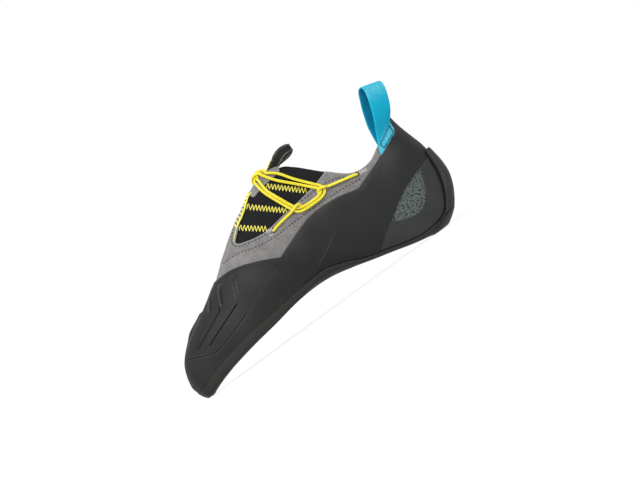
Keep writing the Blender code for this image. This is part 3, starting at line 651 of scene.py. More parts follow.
def seam_rise(spots, points):
    """Height of the raised seam along the ridge."""
    x = points[:, 0]
    return SEAM_RISE * smooth(*SEAM_SLOPE, spots[:, 1]) * smooth(*SEAM_FRONT, x) * (1 - smooth(*SEAM_BACK, x))


def panel_relief(spots, points):
    """Strips that swell a little between the zigzag rows, and the raised seam."""
    raised = seam_rise(spots, points)
    for row in ZIGZAG_ROWS:
        raised += trough(from_row(row, points[:, 0], points[:, 2]), SWELL_WIDTH, STRIP_SWELL)
    return raised


def panel_face(spots, points):
    return PANEL_LAYER[1] + panel_relief(spots, points)


def weave_group():
    """Plain weave over a piece's cloth map, at a pitch in millimetres along and across it."""
    wires, given, put = node_group("weave", {"Pitch Along": 1.0, "Pitch Across": 1.0}, ["Height"])
    place = wires.node("SeparateXYZ", {0: wires.node("UVMap", uv_map="cloth").outputs[0]})
    waves = []
    for axis, key in ((0, "Pitch Along"), (1, "Pitch Across")):
        turns = wires.math("DIVIDE", place.outputs[axis], given.outputs[key])
        waves.append(wires.math("SINE", wires.math("MULTIPLY", turns, np.pi)))
    over = wires.math("GREATER_THAN", wires.math("MULTIPLY", *waves), 0.0)
    first, second = (wires.math("ABSOLUTE", wave) for wave in waves)
    height = wires.node("Mix", {0: over, 2: first, 3: second}, data_type="FLOAT").outputs[0]
    wires.tree.links.new(height, put.inputs["Height"])
    return wires.tree


WEAVE = weave_group()


def woven_finish(name, dark, light, edge_and_highlight_colour, pitch, raise_by, roughness):
    """Woven cloth: lighter on the crowns of its threads, darker between them, with its own edge colour where
    the edge attribute is high, which on the tongue tab and heel loop is a painted highlight.
    """
    finish = Finish(name, roughness, specular=0.15)
    weave = finish.node("Group", {"Pitch Along": pitch[0], "Pitch Across": pitch[1]}, node_tree=WEAVE)
    _, blotch = finish.grain(0.4, 9.0)
    crown = finish.math("MULTIPLY", weave.outputs["Height"], finish.spread(blotch, 0.3, 0.7, 0.6, 1))
    finish.feed("Base Color", finish.mix(finish.wear_and_highlight(0.9), finish.mix(crown, dark, light), edge_and_highlight_colour))
    finish.bump(weave.outputs["Height"], raise_by)
    return finish.shade


def thread_finish(name, main, pale):
    """Sewing thread, paler where its twist catches the light."""
    return plain_finish(
        name, main, pale, shine=(0.6, 0.35, 0.2), grain_size=0.5, span=(0.4, 0.75), raise_by=0.1)


def on_last(flat, side, lift=0.0):
    """Spots of the last that side view shows at these x and z, on the medial (-1) or lateral (1) side."""
    flat = np.asarray(flat, float)
    stations, shares = np.linspace(0, STATIONS - 1, SEARCH_GRID[0]), np.linspace(0, 1, SEARCH_GRID[1])
    u, t = (part.ravel() for part in np.meshgrid(stations if side < 0 else AROUND - stations, shares))
    known = last(u, t)[:, [0, 2]]
    nearest = [np.argmin(((known - spot) ** 2).sum(1)) for spot in flat]
    spots = np.stack([u[nearest], t[nearest]], 1)
    for _ in range(SEARCH_ROUNDS):
        u, t = spots.T
        miss = flat - (last(u, t) + facing(u, t) * lift)[:, [0, 2]]
        along = last(u + SLOPE_STEP, t) - last(u - SLOPE_STEP, t)
        upward = last(u, t + SLOPE_STEP) - last(u, t - SLOPE_STEP)
        matrix = np.stack([slope[:, [0, 2]] / (2 * SLOPE_STEP) for slope in (along, upward)], axis=-1)
        turned = np.swapaxes(matrix, 1, 2)
        damped = turned @ matrix + SEARCH_DAMPING * np.eye(2)
        step = np.linalg.solve(damped, turned @ miss[..., None])[..., 0]
        spots = spots + np.clip(step, -SEARCH_STEP, SEARCH_STEP)
        spots[:, 1] = np.clip(spots[:, 1], 0, 1)
    return spots


def stitches(starts, ends, outs, radius, rings=7, sides=6):
    """Points and faces of closed threads from start to end, arched along outs and sunk at both ends."""
    along = np.linspace(0, 1, rings)
    bulge = np.sin(np.pi * along)
    lift = radius * (STITCH_ARCH * bulge**0.6 - STITCH_SUNK)
    girth = radius * np.maximum(bulge, STITCH_TIP) ** 0.4
    axis = unit(ends - starts)
    across = unit(np.cross(axis, outs))
    over = np.cross(across, axis)
    angle = np.linspace(0, 2 * np.pi, sides, endpoint=False)
    middle = starts[:, None] + (ends - starts)[:, None] * along[:, None] + outs[:, None] * lift[:, None]
    ring = across[:, None, None] * np.cos(angle)[:, None] + over[:, None, None] * np.sin(angle)[:, None]
    points = middle[:, :, None] + ring * girth[:, None, None]
    number = np.arange(points[..., 0].size).reshape(points.shape[:3])
    caps = number[:, 0].tolist() + number[:, -1, ::-1].tolist()
    return points.reshape(-1, 3), ring_faces(number).tolist() + caps


def sewn_on(spots, face):
    """Points and directions at the spots of a face that stands above the last by face(spots, points)."""
    points, out = lay(spots)
    return points + out * face(spots, points)[:, None], out


def gathered(parts):
    """One mesh from several (points, faces)."""
    points, faces, count = [], [], 0
    for some, joined in parts:
        points.append(some)
        faces += [[k + count for k in face] for face in joined]
        count += len(some)
    return np.vstack(points), faces


def zigzag(row, side):
    """Zigzag stitches along a straight row on the panel."""
    run = np.array([row.end_x - row.x, row.end_z - row.z])
    across = np.array([-run[1], run[0]]) / np.hypot(*run) * ZIGZAG_WIDTH / 2
    share = np.linspace(0, 1, 2 * round(np.hypot(*run) / ZIGZAG_PITCH) + 1)
    swing = np.where(np.arange(len(share)) % 2, 1.0, -1.0)
    flat = np.array([row.x, row.z]) + share[:, None] * run + swing[:, None] * across
    points, out = sewn_on(on_last(flat, side, PANEL_LAYER[1]), panel_face)
    return stitches(points[:-1], points[1:], unit(out[:-1] + out[1:]), ZIGZAG_THREAD)


def tube(path, radius, sides, closed=False, round_ends=False):
    """Points and faces of a round tube along a path."""
    steps = np.roll(path, -1, axis=0) - np.roll(path, 1, axis=0) if closed else np.gradient(path, axis=0)
    tangent = unit(steps)
    side = [unit(np.cross(tangent[0], TUBE_START))]
    for line in tangent[1:]:
        side.append(unit(side[-1] - line * (side[-1] @ line)))
    side = np.array(side)
    if closed:
        twist = np.arctan2(np.cross(side[-1], side[0]) @ tangent[0], side[-1] @ side[0])
        turn = (twist * np.arange(len(path)) / len(path))[:, None]
        side = side * np.cos(turn) + np.cross(tangent, side) * np.sin(turn)
    over = np.cross(tangent, side)
    girth = np.full(len(path), radius)
    if round_ends:
        run = run_along(path)
        short = np.clip(radius - np.minimum(run, run[-1] - run), 0, None)
        girth = np.sqrt(np.maximum(radius**2 - short**2, 1e-4))
    angle = np.linspace(0, 2 * np.pi, sides, endpoint=False)[:, None]
    ring = side[:, None] * np.cos(angle) + over[:, None] * np.sin(angle)
    points = path[:, None] + ring * girth[:, None, None]
    number = np.arange(len(path) * sides).reshape(len(path), sides)
    rings = np.vstack([number, number[:1]]) if closed else number
    faces = ring_faces(rings)[:, [0, 3, 2, 1]].tolist()
    if not closed:
        faces += [number[0, ::-1].tolist(), number[-1].tolist()]
    return points.reshape(-1, 3), faces


def resampled(points, step, closed=False):
    """Points a step apart on a smooth curve through rows whose first three columns are a place."""
    points = np.array(points, float)
    if not closed:
        points = np.vstack([2 * points[0] - points[1], points, 2 * points[-1] - points[-2]])
    first, ends = (0, len(points)) if closed else (1, len(points) - 2)
    fine = through(points, np.linspace(first, ends, FINE_STEPS * len(points), endpoint=not closed))
    looped = np.vstack([fine, fine[:1]]) if closed else fine
    run = run_along(looped[:, :3])
    stops = np.linspace(0, run[-1], max(int(run[-1] / step), 3), endpoint=not closed)
    return np.stack([np.interp(stops, run, looped[:, k]) for k in range(points.shape[1])], axis=1)


def on_crown(x, share, side):
    """Spots at a share of the way up the ribs that end on the ridge at x."""
    fine = np.linspace(0, SPLIT, FINE_TOPS)
    ribs = np.interp(x, top(fine)[:, 0], fine)
    ribs, share = np.broadcast_arrays(np.where(np.asarray(side) < 0, ribs, AROUND - ribs), share)
    return np.stack([ribs, share], -1)


def instep_seam():
    """Yellow ladder seam over the ridge: a rail on either side, slanted rungs from one to the other, and a
    thin thread down either front edge of the throat."""
    def sewn(x, share, side):
        spots = on_crown(x, share, side)
        points, out = lay(spots)
        lift = PANEL_LAYER[1] + seam_rise(spots, points) + SEAM_LIFT
        lift += SEAM_FRONT_LIFT * (1 - smooth(*FRONT_LIFTED, x)) + SEAM_BACK_LIFT * smooth(*BACK_LIFTED, x)
        return points + out * lift[:, None]

    def rail_share(x):
        return RAIL_SHARES[0] + (RAIL_SHARES[1] - RAIL_SHARES[0]) * smooth(*SEAM_X, x)

    def thread(line, radius, sides=THREAD_SIDES):
        return tube(resampled(line, THREAD_STEP), radius, sides, round_ends=True)

    x = np.linspace(*SEAM_X, 40)
    parts = [thread(sewn(x, rail_share(x), side), SEAM_RAIL) for side in (-1, 1)]
    across = np.linspace(-1, 1, 9)
    for start in np.linspace(SEAM_X[0] + RUNG_INSET, SEAM_X[1] - RUNG_LEAN - RUNG_INSET, SEAM_RUNGS):
        x = start + RUNG_LEAN * (across + 1) / 2
        parts.append(thread(sewn(x, 1 - (1 - rail_share(x)) * np.abs(across), across), SEAM_RUNG, 6))
    return parts + [thread(lay(on_last(FRONT_EDGE, side))[0], EDGE_THREAD) for side in (-1, 1)]


elastic_shade = woven_finish(
    "elastic", ELASTIC_BLACK, ELASTIC_GREY, ELASTIC_GREY, ELASTIC_PITCH, raise_by=0.12, roughness=0.85)
yellow_thread = thread_finish("yellow_thread", THREAD_YELLOW, THREAD_PALE)
panel = layer_piece(
    "throat_elastic", lambda x, y, z: [throat(x, z) - THROAT_LAP], lambda spots, points: collar_depth(spots),
    PANEL_LAYER, panel_relief, [elastic_shade], step=1.2, radius=0.5, under=0.5,
)
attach(panel, "root")
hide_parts("throat_panel")
zigzags = [zigzag(row, side) for row in ZIGZAG_ROWS for side in (-1, 1)]
for name, parts in (("zigzag_stitches", zigzags), ("instep_seam", instep_seam())):
    sewing = mesh_piece(name, *gathered(parts), [yellow_thread])
    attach(sewing, "root")

# Lace keeper. A strip of the same suede over the ridge of the instep, with a rounded rear end, sewn down
# over the elastic so that the lace can't chafe it.
KEEPER_LAYER = (-SUEDE, -0.4)
KEEPER_FOOT = table(Edge, (110, 99.6), (119, 102.6), (127, 104.8), (135, 106), (155, 107.6))
KEEPER_FRONT, KEEPER_BACK = 118.2, 148.5
KEEPER_CORNER, KEEPER_SWELL, KEEPER_SLOPE = 4.0, 0.5, 2.5


def keeper_edge(x, z):
    ends = np.maximum(KEEPER_FRONT - x, x - KEEPER_BACK)
    return both_edges(-below(KEEPER_FOOT, x, z), ends, KEEPER_CORNER)


def keeper_depth(spots, points):
    return -keeper_edge(points[:, 0], points[:, 2])


def keeper_relief(spots, points):
    return KEEPER_SWELL * smooth(0, KEEPER_SLOPE, keeper_depth(spots, points))


keeper = layer_piece(
    "lace_keeper_suede", lambda x, y, z: [keeper_edge(x, z)], keeper_depth, KEEPER_LAYER, keeper_relief,
    [suede_shade], step=0.8, radius=0.5,
)
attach(keeper, "root")
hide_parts("lace_keeper")

# Tongue tab. A loop of black tape with corded edges, folded at its rear end, its two ends sewn together to
# the top of the throat panel with a few yellow stitches.
TAB_TAPE = 1.2
TAB_BLACK = (0.012, 0.0125, 0.012, 1)
TAB_DARK = (0.030, 0.031, 0.029, 1)
# Painted highlight: pale grey lines along the tape's corded edges.
TAB_PIPING_HIGHLIGHT = (0.30, 0.31, 0.26, 1)
TAB_PITCH = (0.8, 0.8)
TAB_COLUMNS = np.array([-1, -0.97, -0.9, -0.83, -0.78, -0.73, -0.68, -0.63, -0.5, -0.25, 0])
TAB_COLUMNS = np.concatenate([TAB_COLUMNS, -TAB_COLUMNS[-2::-1]])
TAB_MIDDLE = -0.6
Fold = namedtuple("Fold", "front_x front_z back_x back_z narrowed apart")
TONGUE_TAB = table(
    Fold, (138.9, 112.5, 149.4, 110.2, 0.00, 0.55), (142.6, 114.7, 150.8, 111.0, 0.06, 1.1),
    (146.6, 117.2, 153.2, 111.0, 0.15, 2.3), (151.0, 120.0, 156.3, 111.1, 0.22, 3.6),
    (156.8, 121.6, 159.8, 111.6, 0.24, 3.9), (162.0, 121.1, 162.6, 112.6, 0.15, 2.6),
    (164.6, 119.6, 164.5, 114.6, 0.00, 0.0),
)
TAB_THREAD, TAB_THREAD_OUT, TAB_THREAD_STEP, TAPE_STEP = 0.42, 0.35, 0.6, 0.8
# Place and width across the tape of the painted highlight, then of the rolled edge.
TAB_HIGHLIGHT_LINE, TAB_ROLL = (0.75, 0.07), (0.9, 0.1)
TAB_THIN, TAB_ROLLED, TAB_END = 0.6, 0.7, 0.4


def band(name, middle, half, shades, **attributes):
    """Flat tape from a grid of points on its middle, rows along it and columns across, half a thickness
    each way. A second shade is for its back."""
    rows, columns = middle.shape[:2]
    face = unit(np.cross(np.gradient(middle, axis=0), np.gradient(middle, axis=1)))
    front, back = middle + face * half[..., None], middle - face * half[..., None]
    number = np.arange(rows * columns).reshape(rows, columns)
    count = rows * columns
    quads = grid_faces(number)
    ring = np.concatenate([number[:, 0], number[-1, 1:], number[-2::-1, -1], number[0, -2:0:-1]])
    beside = np.roll(ring, -1)
    walls = np.stack([beside, ring, ring + count, beside + count], 1)
    every = np.concatenate([quads, quads[:, ::-1] + count, walls])
    which = np.repeat([0, len(shades) - 1, 0], [len(quads), len(quads), len(walls)])
    along = run_along(middle[:, columns // 2])
    wide = np.linalg.norm(middle - middle[:, :1], axis=2)
    uv = np.stack([np.broadcast_to(along[:, None], wide.shape), wide], -1).reshape(-1, 2)
    spread = {
        key: np.tile(np.broadcast_to(value, wide.shape).ravel(), 2) for key, value in attributes.items()}
    points = np.vstack([front.reshape(-1, 3), back.reshape(-1, 3)])
    return mesh_piece(name, points, every, shades, which, np.tile(uv, (2, 1)), **spread)


def tab_rows(side):
    """Front and back edge of the tape at each fold, on one side. The medial ply is the narrower."""
    rows = []
    for fold in TONGUE_TAB:
        front = np.array([fold.front_x, TAB_MIDDLE + side * fold.apart, fold.front_z])
        back = np.array([fold.back_x, TAB_MIDDLE + side * fold.apart, fold.back_z])
        rows.append([*front, *(back + (front - back) * fold.narrowed * (side < 0))])
    return rows


def tab_grid():
    """Middle of the tape, up one side, round the fold and down the other."""
    line = resampled(tab_rows(-1) + tab_rows(1)[-2::-1], TAPE_STEP)
    share = (TAB_COLUMNS[:, None] + 1) / 2
    return line[:, None, :3] * (1 - share) + line[:, None, 3:] * share


tab_across = np.abs(TAB_COLUMNS)
# Painted highlight along the corded edges, given to the finish in the edge attribute.
tab_piping_highlight = bell(tab_across - TAB_HIGHLIGHT_LINE[0], TAB_HIGHLIGHT_LINE[1])
tab_rolled = bell(tab_across - TAB_ROLL[0], TAB_ROLL[1])
tab_half = TAB_TAPE / 2 * (TAB_THIN + TAB_ROLLED * tab_rolled) * np.where(tab_across == 1, TAB_END, 1)
tab_middle = tab_grid()
tab_half = np.broadcast_to(tab_half, tab_middle.shape[:2])
tab_shade = woven_finish(
    "tab_tape", TAB_BLACK, TAB_DARK, TAB_PIPING_HIGHLIGHT, TAB_PITCH, raise_by=0.1, roughness=0.8)
tab = band("tongue_tab_tape", tab_middle, tab_half, [tab_shade], edge=tab_piping_highlight)
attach(tab, "root")
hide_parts("tongue_tab")
tab_stitches = []
for side in (-1, 1):
    edge = np.array(tab_rows(side))[:3, :3] + [-TAB_THREAD_OUT, side * TAB_TAPE / 2, TAB_THREAD_OUT]
    tab_stitches.append(tube(resampled(edge, TAB_THREAD_STEP), TAB_THREAD, THREAD_SIDES, round_ends=True))
sewing = mesh_piece("tongue_tab_stitches", *gathered(tab_stitches), [yellow_thread])
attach(sewing, "root")

# Sewing in the suede. Rows of grey lockstitch along the throat and the eyestay, and pale bartacks where
# the lace ends go through their bound holes.
THREAD_GREY = (0.033, 0.031, 0.032, 1)
THREAD_LIGHT = (0.085, 0.081, 0.082, 1)
BARTACK_GREY = (0.46, 0.45, 0.43, 1)
BARTACK_WHITE = (0.72, 0.71, 0.68, 1)
STITCH, STITCH_GAP, STITCH_THREAD = 1.6, 1.1, 0.42
THROAT_ROW = table(
    Edge, (94.2, 92.4), (90.2, 88.8), (87.2, 85.6), (86.8, 82.2), (88.8, 79.3), (94.4, 77.6), (102, 75.7),
    (109, 74.5), (118, 75.1), (130, 76.4), (145, 78.2),
)
HOLES = table(Edge, (117.6, 73.1), (192.6, 70.9))
HOLE_RADIUS, HOLE_THREAD, TACK_THREAD = 1.55, 0.4, 0.36
Tack = namedtuple("Tack", "x z run_x run_z count half")
TACKS = [
    Tack(114.9, 75.0, 1.0, -0.25, 5, 1.7), Tack(114.2, 71.5, 1.0, -0.25, 3, 0.9),
    Tack(197.6, 69.8, 1.0, -0.2, 6, 1.6),
]


def row_on_suede(route):
    """Lockstitches along a route in side view, on both sides of the shoe."""
    flat = resampled([(x, 0, z) for x, z in route], (STITCH + STITCH_GAP) / 4)[:, [0, 2]]
    starts = np.arange(0, len(flat) - 3, 4)
    parts = []
    for side in (-1, 1):
        points, out = sewn_on(on_last(flat, side), suede_relief)
        parts.append(stitches(points[starts], points[starts + 3], out[starts + 1], STITCH_THREAD))
    return parts


def along_table(rows, ends):
    x = np.linspace(*ends, 30)
    return np.stack([x, height(rows, x)], 1)


def bartack(tack, side):
    """Stitches side by side across the run of a tack."""
    offsets = np.arange(tack.count) - (tack.count - 1) / 2
    run = np.array([tack.run_x, tack.run_z])
    flat = np.array([tack.x, tack.z]) + offsets[:, None] * run
    across = np.array([-run[1], run[0]]) / np.hypot(*run) * tack.half
    start, _ = sewn_on(on_last(flat - across, side), suede_relief)
    end, out = sewn_on(on_last(flat + across, side), suede_relief)
    return stitches(start, end, out, TACK_THREAD)


def bound_hole(hole, side):
    """Ring of thread round the hole that a lace end goes through."""
    points, out = lay(on_last([hole], side))
    across = unit(np.cross(out, [0.0, 0.0, 1.0]))
    angle = np.linspace(0, 2 * np.pi, 24, endpoint=False)[:, None]
    ring = points + HOLE_RADIUS * (across * np.cos(angle) + np.cross(out, across) * np.sin(angle))
    return tube(ring, HOLE_THREAD, THREAD_SIDES, closed=True)


grey_thread = thread_finish("grey_thread", THREAD_GREY, THREAD_LIGHT)
tack_thread = thread_finish("bartack_thread", BARTACK_GREY, BARTACK_WHITE)
rows = row_on_suede(THROAT_ROW) + row_on_suede(along_table(LOWER_ROW, LOWER_ROW_ENDS))
rows += row_on_suede(along_table(EYESTAY_ROW, EYESTAY_ROW_ENDS))
rows += [bound_hole(hole, side) for hole in HOLES for side in (-1, 1)]
tacks = [bartack(tack, side) for tack in TACKS for side in (-1, 1)]
for name, parts, shade in (("suede_stitches", rows, grey_thread), ("bartacks", tacks, tack_thread)):
    sewing = mesh_piece(name, *gathered(parts), [shade])
    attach(sewing, "root")

# Heel loop. A loop of turquoise polyester webbing, 19 mm wide, for pulling the shoe on. Both ends are sewn
# to the collar, the outer one under the edge of the sling and held with a stitched box.
WEBBING = 1.4
WEBBING_HALF_WIDTH = 9.6
WEBBING_BLUE = (0.002, 0.38, 0.60, 1)
WEBBING_CROWN = (0.005, 0.46, 0.67, 1)
# Painted highlight: a lighter blue for the loop's foot and top.
WEBBING_HIGHLIGHT = (0.15, 0.60, 0.72, 1)
# Painted shade: a darker copy of the webbing blue for the loop's inner face, also the blue thread's paler
# colour.
WEBBING_SHADED_BLUE = (0.002, 0.20, 0.335, 1)
WEBBING_THREAD = (0.003, 0.06, 0.11, 1)
WEBBING_PITCH = (0.9, 1.3)
Bend = namedtuple("Bend", "x y z tilt")
HEEL_LOOP = table(
    Bend, (229.4, -20.6, 88.5, 1.6), (233.2, -21.8, 94.5, 0.2), (236.4, -21.8, 101.0, -0.8),
    (239.0, -20.8, 108.0, -1.5), (240.7, -19.0, 113.9, -1.8), (240.9, -16.6, 118.2, -2.0),
    (239.2, -14.2, 119.6, -2.0), (236.7, -12.2, 117.4, -2.0), (234.3, -11.2, 112.3, -1.8),
    (231.6, -10.8, 106.0, -1.5), (229.1, -11.2, 99.0, -0.8), (227.0, -12.6, 93.0, 1.0),
)
HEEL_LOOP_RUN = (0.79, 0.61)
Lap = namedtuple("Lap", "share offset front back")
OUTER_LAPS = table(
    Lap, (0.85, -0.8, 213.8, 231.6), (0.9, 0.1, 214.8, 232.2), (0.945, 0.8, 215.8, 233.2),
    (0.985, 1.2, 217.0, 234.4),
)
INNER_LAPS = table(Lap, (0.985, -2.6, 218.5, 233.8), (0.92, -2.6, 219.0, 233.5))
LOOP_SHARES = np.array([-1, -0.985, -0.95, -0.88, -0.75, -0.5, -0.25, 0])
LOOP_SHARES = np.concatenate([LOOP_SHARES, -LOOP_SHARES[-2::-1]])
LOOP_ROUNDED, LOOP_THINNEST = 0.07, 0.05
# Painted highlights along the loop: where they lie at its foot and top, as a share of its run and width, and
# how strong the top one is.
LOOP_FOOT_HIGHLIGHT, LOOP_TOP_HIGHLIGHT, TOP_HIGHLIGHT_SHARE = (0.1, 0.05), (0.47, 0.06), 0.8
BOX_CORNERS = table(Edge, (233.8, 86.2), (219.6, 78.6), (220.6, 74.8), (233.4, 80.3))
BOX_STITCH, BOX_LIFT, BOX_THREAD = 1.9, 1.75, 0.46


def loop_grid():
    """Middle of the webbing, rows along it from the outer end to the inner one."""
    fine = np.linspace(SPLIT, STATIONS - 1, FINE_TOPS)

    def sewn(lap):
        places = lap.front + (lap.back - lap.front) * (LOOP_SHARES + 1) / 2
        ribs = np.interp(places, top(fine)[:, 0], fine)
        share = np.full(len(ribs), lap.share)
        return last(ribs, share) + facing(ribs, share) * lap.offset

    rows = [sewn(lap) for lap in OUTER_LAPS]
    for bend in HEEL_LOOP:
        width = unit(np.array([*HEEL_LOOP_RUN, bend.tilt / WEBBING_HALF_WIDTH]))
        rows.append(np.array(bend[:3]) + LOOP_SHARES[:, None] * WEBBING_HALF_WIDTH * width)
    rows += [sewn(lap) for lap in INNER_LAPS]
    middle_first = 3 * (len(LOOP_SHARES) // 2)
    wide = np.roll(np.array(rows).reshape(len(rows), -1), -middle_first, axis=1)
    fine_rows = np.roll(resampled(wide, TAPE_STEP), middle_first, axis=1)
    return fine_rows.reshape(len(fine_rows), -1, 3)


def box_stitches():
    """Box of stitches that holds the webbing's outer end."""
    corners = np.array(BOX_CORNERS)
    parts = []
    for start, end in zip(corners, np.roll(corners, -1, axis=0)):
        count = round(np.hypot(*(end - start)) / BOX_STITCH)
        flat = start + (end - start) * np.linspace(0, 1, count + 1)[:, None]
        points, out = lay(on_last(flat, -1, BOX_LIFT))
        points = points + out * BOX_LIFT
        parts.append(stitches(points[:-1], points[1:], out[:-1], BOX_THREAD))
    return parts


loop_middle = loop_grid()
loop_round = np.clip(np.abs(LOOP_SHARES) - (1 - LOOP_ROUNDED), 0, None) / LOOP_ROUNDED
loop_half = WEBBING / 2 * np.sqrt(np.maximum(1 - loop_round**2, LOOP_THINNEST))
loop_run = np.linspace(0, 1, len(loop_middle))[:, None]
# Painted highlight along the webbing at its foot and top, given to the finish in its edge attribute.
loop_highlight = bell(loop_run - LOOP_FOOT_HIGHLIGHT[0], LOOP_FOOT_HIGHLIGHT[1])
loop_highlight = loop_highlight + TOP_HIGHLIGHT_SHARE * bell(loop_run - LOOP_TOP_HIGHLIGHT[0], LOOP_TOP_HIGHLIGHT[1])
# The inner face and walls get a darker copy of the webbing as painted shade; both copies are painted lighter
# at the loop's foot and top as highlight.
loop_shades = [
    woven_finish(name, *colours, WEBBING_PITCH, raise_by=0.15, roughness=0.75) for name, *colours in (
        ("webbing_inside", WEBBING_SHADED_BLUE, WEBBING_BLUE, WEBBING_BLUE),
        ("webbing", WEBBING_BLUE, WEBBING_CROWN, WEBBING_HIGHLIGHT),
    )
]
loop = band(
    "heel_loop_webbing", loop_middle, np.broadcast_to(loop_half, loop_middle.shape[:2]), loop_shades,
    edge=loop_highlight,
)
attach(loop, "root")
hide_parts("heel_loop")
blue_thread = thread_finish("blue_thread", WEBBING_THREAD, WEBBING_SHADED_BLUE)
sewing = mesh_piece("heel_loop_stitches", *gathered(box_stitches()), [blue_thread])
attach(sewing, "root")

# Insole. A board of pressed fibre, 2 mm, that the upper is pulled over and glued to. It is all that shows
# of the bottom, deep inside the shoe.
INSOLE = 2.0
INSOLE_INSET = 2.4
HEEL_LIP = 2.0
BOARD_GREY = (0.06, 0.06, 0.062, 1)
BOARD_LIGHT = (0.10, 0.10, 0.10, 1)
BOARD_CORNER = 0.4
LIP_STATIONS = (16.8, 19)
Sole = namedtuple("Sole", "x bottom edge core", defaults=[4.8, 3.8])
SOLE_BOTTOM, SOLE_EDGE, SOLE_CORE = 1, 2, 3
SOLES = table(
    Sole, (-5.0, -0.9), (8.0, -0.9), (13.0, 1.4), (20.0, 4.0), (30.0, 7.0), (50.0, 11.3), (80.0, 16.0),
    (100.0, 19.4), (115.0, 20.5), (130.0, 20.0, 4.6, 3.4), (150.0, 16.0, 3.6, 2.6),
    (168.0, 11.2, 2.6, 2.1), (180.0, 8.2, 2.3, 2.0), (200.0, 3.0, 2.4, 2.0), (210.0, 1.0, 2.8, 2.6),
    (216.0, -0.6, 2.8, 3.2), (227.0, -0.6, 2.6, 3.4), (236.0, 1.5, 1.7, 3.4),
)


def sole_overhang(u):
    return feather(u)[:, OVERHANG] + HEEL_LIP * smooth(*LIP_STATIONS, station(u))


def sole_rib(u):
    """Edge of the sole, its middle below the rib, and the height of its top edge."""
    rib = feather(u)
    edge = rib[:, :2] + outward(u)[:, :2] * sole_overhang(u)[:, None]
    middle_y = (rib[:, 1] + feather(AROUND - u)[:, 1]) / 2
    middle = np.stack([through(TOP_ROWS, u)[:, KEEL], middle_y], axis=-1)
    return edge, middle, rib[:, 2] - GAP


def core_height(x):
    """Top of the sole along its middle."""
    return np.maximum(height(SOLES, x, SOLE_BOTTOM), 0.0) + height(SOLES, x, SOLE_CORE)


def sole_top(u, share, lift=0.0):
    """Ring on the sole's top, at share of the way from its middle to the edge of the insole."""
    edge, middle, crest = sole_rib(u)
    across = np.sum((edge - middle) * outward(u)[:, :2], axis=-1)
    out = share * (1 - (INSOLE_INSET + sole_overhang(u)) / across)
    level = middle + (edge - middle) * out[:, None]
    z = core_height(level[:, 0]) + (crest - core_height(edge[:, 0])) * out**2 + lift
    return np.concatenate([level, z[:, None]], axis=-1)


def rings_piece(name, rings, shades, **attributes):
    """Closed piece from rings round the shoe, the first and last of which lie doubled along its middle."""
    points = np.array(rings)
    number = np.arange(points[..., 0].size).reshape(points.shape[:2])
    flat = np.round(points.reshape(-1, 3), 4)
    places, first, index = np.unique(flat, axis=0, return_index=True, return_inverse=True)
    faces = []
    for face in index.ravel()[ring_faces(number)].tolist():
        corners = [k for spot, k in enumerate(face) if face[spot - 1] != k]
        if len(set(corners)) > 2:
            faces.append(corners)
    spread = {key: np.broadcast_to(value, number.shape).ravel()[first] for key, value in attributes.items()}
    return mesh_piece(name, places, faces, shades, uv=places[:, :2], **spread)


def ring_ribs(step):
    """Ribs about a step apart along the feather edge, all the way round, each with its mirrored one."""
    half = even_stations(lambda u: feather(u)[:, :3], step)
    return np.concatenate([half, AROUND - half[-2:0:-1]])


ribs = ring_ribs(step=2.0)
board_rings = [sole_top(ribs, share, GAP + INSOLE) for share in np.linspace(0, 0.99, 9)]
board_rings += [sole_top(ribs, 1.0, GAP + lift) for lift in (INSOLE - BOARD_CORNER, BOARD_CORNER)]
board_rings += [sole_top(ribs, share, GAP) for share in np.linspace(0.99, 0, 7)]
board_shade = plain_finish(
    "fibre_board", BOARD_GREY, BOARD_LIGHT, shine=(0.95, 0.15, 0), grain_size=0.9, span=(0.35, 0.7),
    raise_by=0.3,
)
insole = rings_piece("insole_board", board_rings, [board_shade])
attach(insole, "root")
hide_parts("insole")

# Rand, toe patch, sling and heel cup. Black climbing rubber, 1.7 mm, glued over the suede in separate
# pieces that butt along narrow grooves or are ground flush, with their upper edges thinned by hand.
SEAM = 0.4
FLUSH_LAP = 0.02
RUBBER = 1.7
RUBBER_LAYER = (GAP, GAP + RUBBER)
RUBBER_EDGE = 0.5
SKIVE, SKIVE_WIDTH = 0.9, 5.0
RUBBER_BLACK = (0.0162, 0.0172, 0.0168, 1)
# Near black painted into grooves and along the rubber's foot: painted shade.
RUBBER_PAINTED_SHADE = (0.006, 0.0065, 0.0065, 1)
CUP_GREY = (0.035, 0.0365, 0.036, 1)
# Paler grey for scuffing and for painted sheen.
RUBBER_SCUFFED_AND_SHEEN = (0.052, 0.054, 0.053, 1)
# Paler grey for wear at the edges, also painted on the toe patch's ridges and the sole's top edge as
# highlight.
RUBBER_WORN_AND_HIGHLIGHT = (0.062, 0.064, 0.062, 1)
DUST_BROWN = (0.029, 0.0262, 0.0235, 1)
PATCH_TOP = table(Edge, (0, 66.5), (50, 67), (65, 68), (72, 68.2), (80, 66.8), (95, 61.5), (115, 51.8))
PATCH_FOOT = table(
    Edge, (-5, 31), (12, 31), (20, 28), (28, 25), (40, 27), (70, 36.5), (90, 44), (115, 56),
)
WING_TOP = table(Edge, (95, 46.6), (110, 54), (130, 61.5), (145, 66), (160, 66.6), (175, 64.7), (200, 57))
SLING_SEAM = table(
    Edge, (112, 26.4), (122, 30.9), (140.5, 39.4), (152.8, 45.8), (161.2, 50), (168, 56.2), (175, 64.7),
)
SLING_FREE = table(
    Edge, (165, 67.2), (175, 64.7), (182, 62.9), (186, 62), (187.6, 61.9), (189.2, 62.4), (193, 63.8),
    (200, 66.2), (214, 71.5), (223, 75.1), (229, 77.9), (233.4, 80.8), (235.3, 87), (236.6, 100),
)
CUP_TOP = table(Edge, (160, -2), (172, 13), (190, 26), (205, 36), (220, 43.6), (233, 47.6), (255, 55))
